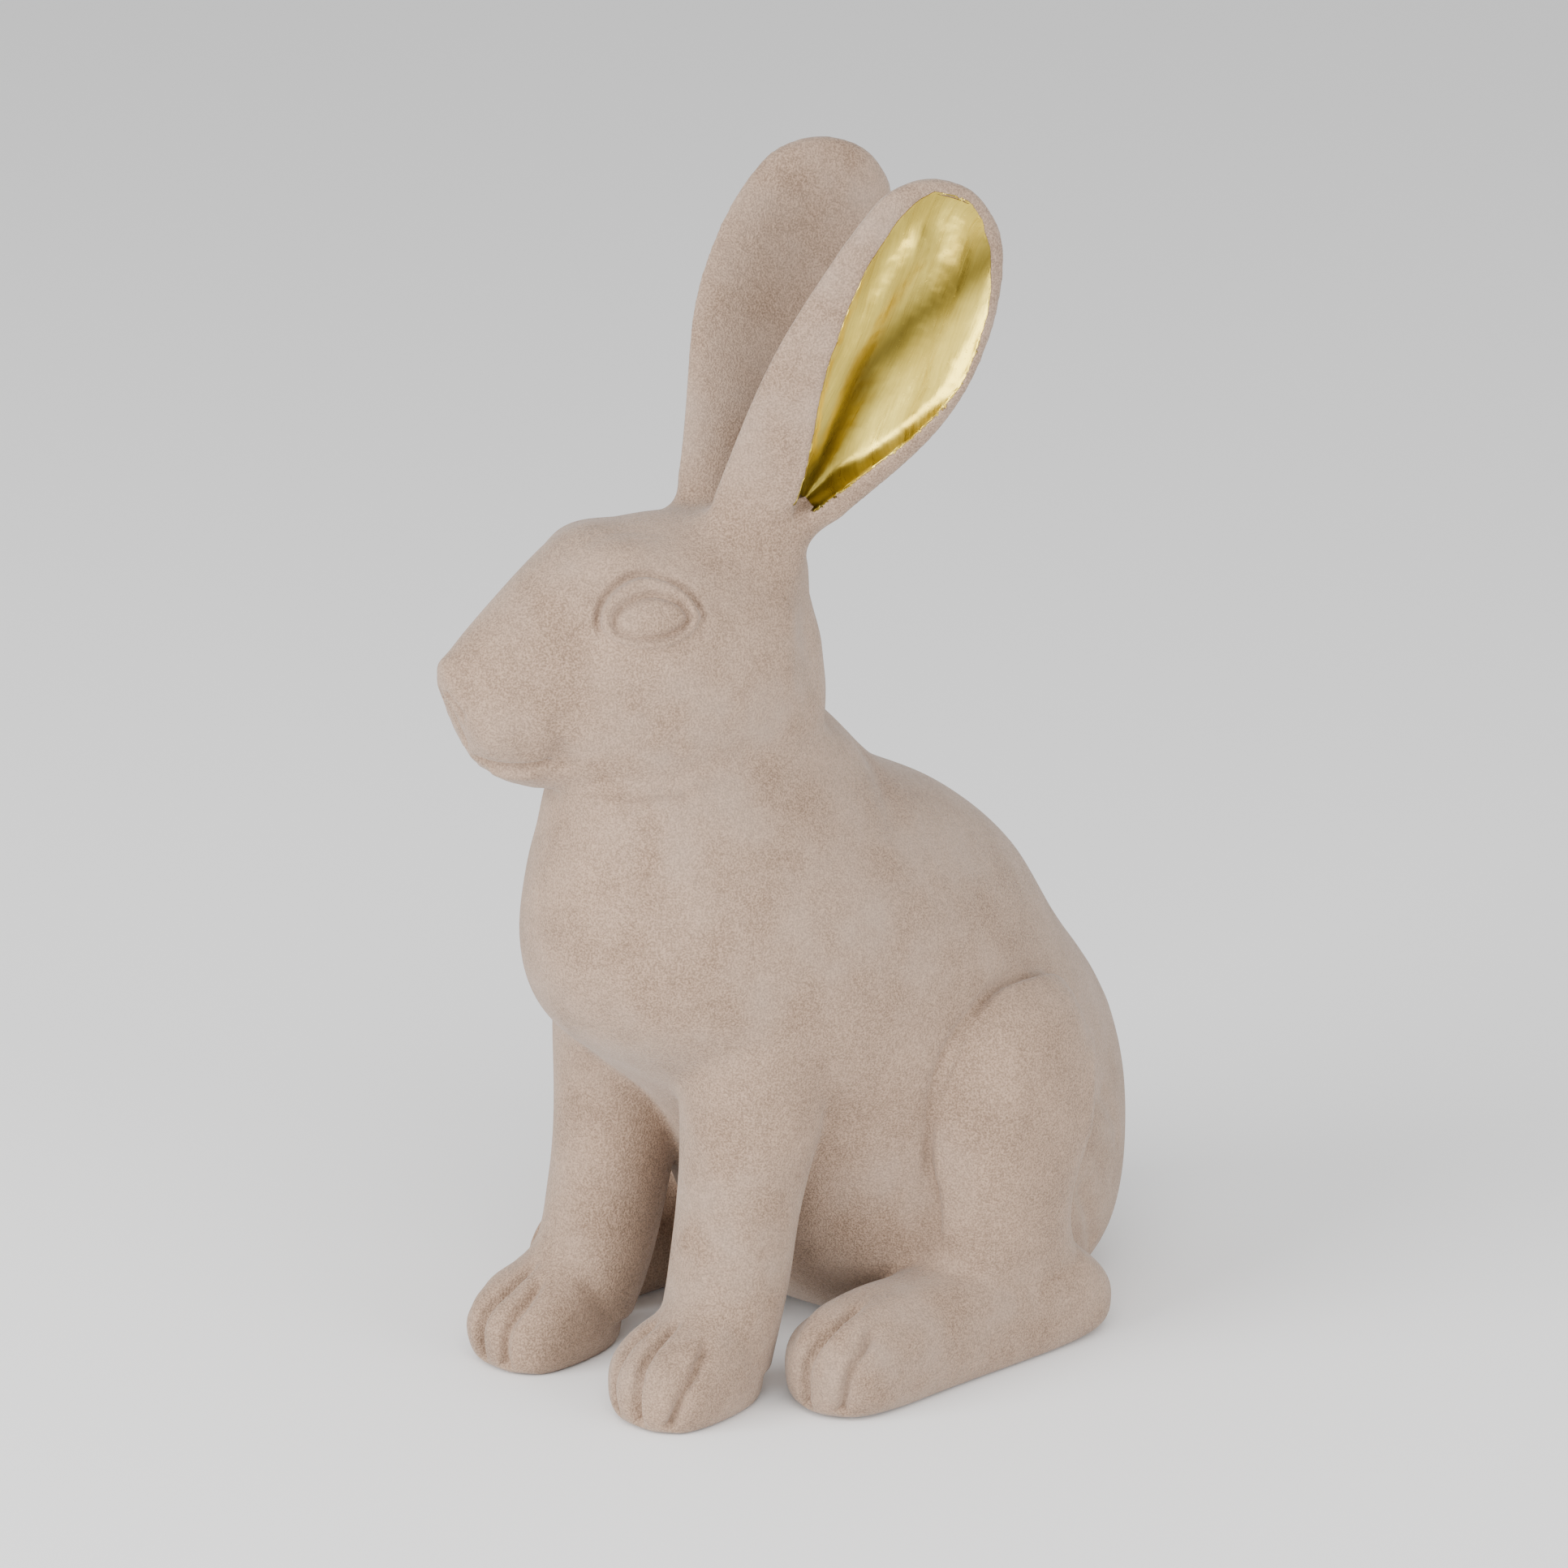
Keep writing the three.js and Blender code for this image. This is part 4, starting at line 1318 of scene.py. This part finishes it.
@dataclass
class FlockedCoat:
    """The coat over all nine castings, made as one skin."""

    castings: tuple[str, ...] = (
        "torso_casting",
        "head_casting",
        *both("ear_casting"),
        *both("foreleg_casting"),
        *both("hind_leg_casting"),
        "tail_casting",
    )
    fibre_length: float = 0.35 * MM
    vent: Point = (0.0, 31.7 * MM, 12.5 * MM)
    vent_radius: float = 12.5 * MM
    vent_depth: float = 9 * MM
    vent_sides: int = 40
    first_rounds: int = 3
    sharp_edge: float = math.radians(43)
    voxel: float = 0.98 * MM
    triangles: int = 194_000
    fine_zones: tuple[tuple[Point, Point, bool], ...] = (
        ((0, 40, 168), (19, 24, 20), True),
        ((22, 19, 190), (14, 15, 13), True),
        ((27, -77, 12), (19, 16, 16), False),
        ((52, -41, 12), (16, 16, 18), False),
    )

    def build(self) -> bpy.types.Object:
        """Make the coat.

        Returns:
            The finished coat.
        """
        coat = self._join_castings()
        skin = Skin(coat)
        skin.relax(np.ones(len(skin.points)), self.first_rounds)
        skin.write()
        Body().work(skin)
        self._refine(coat)
        skin = Skin(coat)
        Face().work(skin)
        Paws().work(skin)
        skin.hold_inside(*(np.array(corner) / MM for corner in cad_box))
        skin.write()
        self._thin_out(coat)
        return coat

    def _join_castings(self) -> bpy.types.Object:
        """Copy the castings a fibre's length larger, stop the vent and make them all one even skin.

        Returns:
            The skin.
        """
        copies = [
            fair_copy(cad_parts[name], name + "_coat", self.sharp_edge, self.fibre_length)
            for name in self.castings
        ]
        bpy.ops.mesh.primitive_cylinder_add(
            vertices=self.vent_sides, radius=self.vent_radius, depth=self.vent_depth, location=self.vent
        )
        copies.append(bpy.context.object)
        deselect()
        for piece in copies:
            piece.select_set(True)
        bpy.context.view_layer.objects.active = copies[0]
        bpy.ops.object.join()
        coat = bpy.context.object
        coat.name = "flocked_coat"
        coat.data.name = "flocked_coat"
        coat.data.remesh_voxel_size = self.voxel
        bpy.ops.object.voxel_remesh()
        return coat

    def _refine(self, coat: bpy.types.Object) -> None:
        """Give the face and the toes a finer mesh.

        Args:
            coat: the coat.
        """
        skin = Skin(coat)
        marked = np.zeros(len(skin.points), dtype=bool)
        for side, zone in product(Side, self.fine_zones):
            marked[skin.inside(*zone, side)[0]] = True
        open_with(coat, Part.POINT, marked)
        bpy.ops.mesh.subdivide(number_cuts=1, smoothness=1.0)
        bpy.ops.object.mode_set(mode="OBJECT")

    def _thin_out(self, coat: bpy.types.Object) -> None:
        """Take faces away where the coat is plain.

        Args:
            coat: the coat.
        """
        coat.data.calc_loop_triangles()
        share = self.triangles / len(coat.data.loop_triangles)
        apply_modifier(coat, "DECIMATE", {"ratio": min(1.0, share)})
        bpy.ops.object.shade_smooth()

    def dress(self, coat: bpy.types.Object, finish: bpy.types.Material) -> None:
        """Flock the coat and let it stand for the castings.

        Args:
            coat: the coat.
            finish: the flock.
        """
        coat.data.materials.clear()
        coat.data.materials.append(finish)
        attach(coat, "root")
        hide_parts(*self.castings)


def fair_copy(node: bpy.types.Object, name: str, sharp: float, swell: float) -> bpy.types.Object:
    """Copy a CAD solid with its facets rounded off.

    Args:
        node: the solid to copy.
        name: the copy's name.
        sharp: the angle from which an edge is kept crisp.
        swell: how much larger the copy is all round, or 0 for the same size.

    Returns:
        The copy.
    """
    piece = node.copy()
    piece.data = node.data.copy()
    piece.name = name
    piece.data.name = name
    piece.parent = None
    for key in list(piece.keys()):
        del piece[key]
    bpy.context.scene.collection.objects.link(piece)
    select_only(piece)
    bpy.ops.object.mode_set(mode="EDIT")
    bpy.ops.mesh.select_all(action="SELECT")
    bpy.ops.mesh.remove_doubles(threshold=0.001 * MM)
    bpy.ops.mesh.tris_convert_to_quads(face_threshold=0.7, shape_threshold=0.9)
    bpy.ops.mesh.select_all(action="DESELECT")
    bpy.ops.mesh.edges_select_sharp(sharpness=sharp)
    bpy.ops.transform.edge_crease(value=1.0)
    bpy.ops.object.mode_set(mode="OBJECT")
    apply_modifier(piece, "SUBSURF", {"levels": 2, "render_levels": 2})
    if swell:
        apply_modifier(piece, "DISPLACE", {"strength": swell, "mid_level": 0.0})
    return piece


@dataclass
class EarGilding:
    """The gold leaf that lines the scoop of one ear."""

    side: Side
    sharp_edge: float = math.radians(60)
    lift: float = 0.2 * MM
    thickness: float = 0.6 * MM
    laying_rounds: tuple[int, ...] = (8, 8, 3)
    tip_rounds: int = 100
    face_angle: float = math.radians(45)
    tail: float = 13.5
    above: Point = (8.0, 54.0, 40.0)
    inset: float = 5.0
    tip_zone: tuple[float, float] = (36.0, 18.0)
    crease: float = math.radians(50)
    ridge_height: float = 1.4
    ridge_width: float = 4.0
    ridges: tuple[tuple[Point, ...], ...] = (
        ((4, 18, 3), (2.5, 30, 3), (-0.5, 45, 4), (0, 58, 4), (2, 70, 4), (5, 80, 3), (8, 88, 2)),
        ((10, 24, 3), (14, 34, 5), (18, 45, 7), (21, 56, 8)),
    )

    @property
    def node(self) -> str:
        """The CAD solid that this leaf stands for."""
        return self.side.node("ear_gilding")

    def build(self, coat: bpy.types.Object) -> bpy.types.Object:
        """Lay the leaf of this ear.

        Args:
            coat: the coat that it is laid on.

        Returns:
            The finished leaf.
        """
        leaf = fair_copy(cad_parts[self.node], self.node + "_leaf", self.sharp_edge, 0.0)
        way = EAR.way_out(self.side)
        self._keep_face(leaf, way)
        self._map_along(leaf)
        skin = Skin(leaf)
        places = EAR.from_body(skin.points, self.side)
        inset = smooth_step(0, self.inset, FLARE.edge(places))
        skin.points = EAR.to_body(FLARE.widened(places), self.side)
        skin.relax(skin.off_border() * smooth_step(*self.tip_zone, places[:, 1]), self.tip_rounds)
        skin.write()
        for rounds in self.laying_rounds:
            apply_modifier(leaf, "SHRINKWRAP", {
                "target": coat,
                "wrap_method": "NEAREST_SURFACEPOINT",
                "wrap_mode": "ABOVE_SURFACE",
                "offset": self.lift,
            })
            skin = Skin(leaf)
            skin.relax(skin.off_border(), rounds)
            skin.write()
        self._raise_lobes(skin, way, inset)
        apply_modifier(leaf, "SOLIDIFY", {"thickness": self.thickness, "offset": -1.0})
        select_only(leaf)
        bpy.ops.object.shade_smooth_by_angle(angle=self.crease)
        return leaf

    def _keep_face(self, leaf: bpy.types.Object, way: Array) -> None:
        """Keep only the face of the leaf that looks out of the scoop, above its buried tail.

        Args:
            leaf: the copy of the leaf's solid.
            way: the direction out of the scoop.
        """
        above = EAR.to_body(np.array([self.above]), self.side)[0]
        bpy.context.view_layer.update()
        number = leaf.ray_cast(Vector(above * MM), Vector(-way))[3]
        open_with(leaf, Part.FACE, np.arange(len(leaf.data.polygons)) == number)
        bpy.ops.mesh.faces_select_linked_flat(sharpness=self.face_angle)
        bpy.ops.mesh.select_all(action="INVERT")
        bpy.ops.mesh.delete(type="FACE")
        bpy.ops.object.mode_set(mode="OBJECT")
        buried = EAR.from_body(Skin(leaf).points, self.side)[:, 1] < self.tail
        open_with(leaf, Part.POINT, buried)
        bpy.ops.mesh.delete(type="VERT")
        bpy.ops.object.mode_set(mode="OBJECT")

    def _map_along(self, leaf: bpy.types.Object) -> None:
        """Lay a UV map whose V runs along the ear, in metres.

        Args:
            leaf: the leaf's face.
        """
        places = EAR.from_body(Skin(leaf).points, self.side)
        layer = leaf.data.uv_layers.new(name="leaf")
        corners = np.empty(len(leaf.data.loops), dtype=np.int32)
        leaf.data.loops.foreach_get("vertex_index", corners)
        flat = places[corners, :2] * MM
        layer.data.foreach_set("uv", flat.astype(np.float32).ravel())

    def _raise_lobes(self, skin: Skin, way: Array, inset: Array) -> None:
        """Swell the scoop in two long lobes with a valley between them.

        Args:
            skin: the leaf's points.
            way: the direction out of the scoop.
            inset: how freely each point is moved, from 0 on the border to 1.
        """
        flat = skin.points.copy()
        for ridge in self.ridges:
            route = HEAD.from_body(EAR.to_body(np.array(ridge), self.side)) * self.side.mirror
            line = Line(tuple(map(tuple, route)), self.ridge_height, self.ridge_width, on_head=True)
            skin.work_line(line, self.side, way)
        skin.points = flat + inset[:, None] * (skin.points - flat)
        skin.write()

    def dress(self, leaf: bpy.types.Object, finish: bpy.types.Material) -> None:
        """Gild the leaf and let it stand for its solid.

        Args:
            leaf: the leaf.
            finish: the gold.
        """
        leaf.data.materials.clear()
        leaf.data.materials.append(finish)
        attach(leaf, "root")
        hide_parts(self.node)


@dataclass
class Fittings:
    """The pins, dowels, pads and plug, which keep their CAD shapes."""

    steel: tuple[str, ...] = both("ear_pin")
    beech: tuple[str, ...] = ("neck_dowel", *both("foreleg_dowel"), *both("hind_leg_dowel"), "tail_peg")
    felt: tuple[str, ...] = (*both("fore_pad"), *both("hind_pad"))
    rubber: tuple[str, ...] = ("vent_plug",)

    def dress(self) -> None:
        """Give each fitting the finish of its stuff."""
        finishes = (
            (self.steel, SteelFinish().make()),
            (self.beech, BeechFinish().make()),
            (self.felt, FeltFinish().make()),
            (self.rubber, RubberFinish().make()),
        )
        for names, finish in finishes:
            for name in names:
                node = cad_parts[name]
                node.data.materials.clear()
                node.data.materials.append(finish)
                log.info("dressed %s in %s", name, finish.name)


def report(piece: bpy.types.Object) -> None:
    """Log a piece's name and how many faces it has."""
    log.info("built %s with %d faces", piece.name, len(piece.data.polygons))


def main() -> None:
    """Build the figure and its studio."""
    logging.basicConfig(level=logging.INFO, format="%(name)s: %(message)s")
    studio = Studio()
    studio.set_camera()
    studio.set_lights()
    studio.lay_floor()
    coat_maker = FlockedCoat()
    coat = coat_maker.build()
    coat_maker.dress(coat, FlockFinish().make())
    report(coat)
    gold = GoldLeafFinish().make()
    for side in Side:
        gilding = EarGilding(side)
        leaf = gilding.build(coat)
        gilding.dress(leaf, gold)
        report(leaf)
    Fittings().dress()
    bpy.context.view_layer.update()


if __name__ == "__main__":
    main()
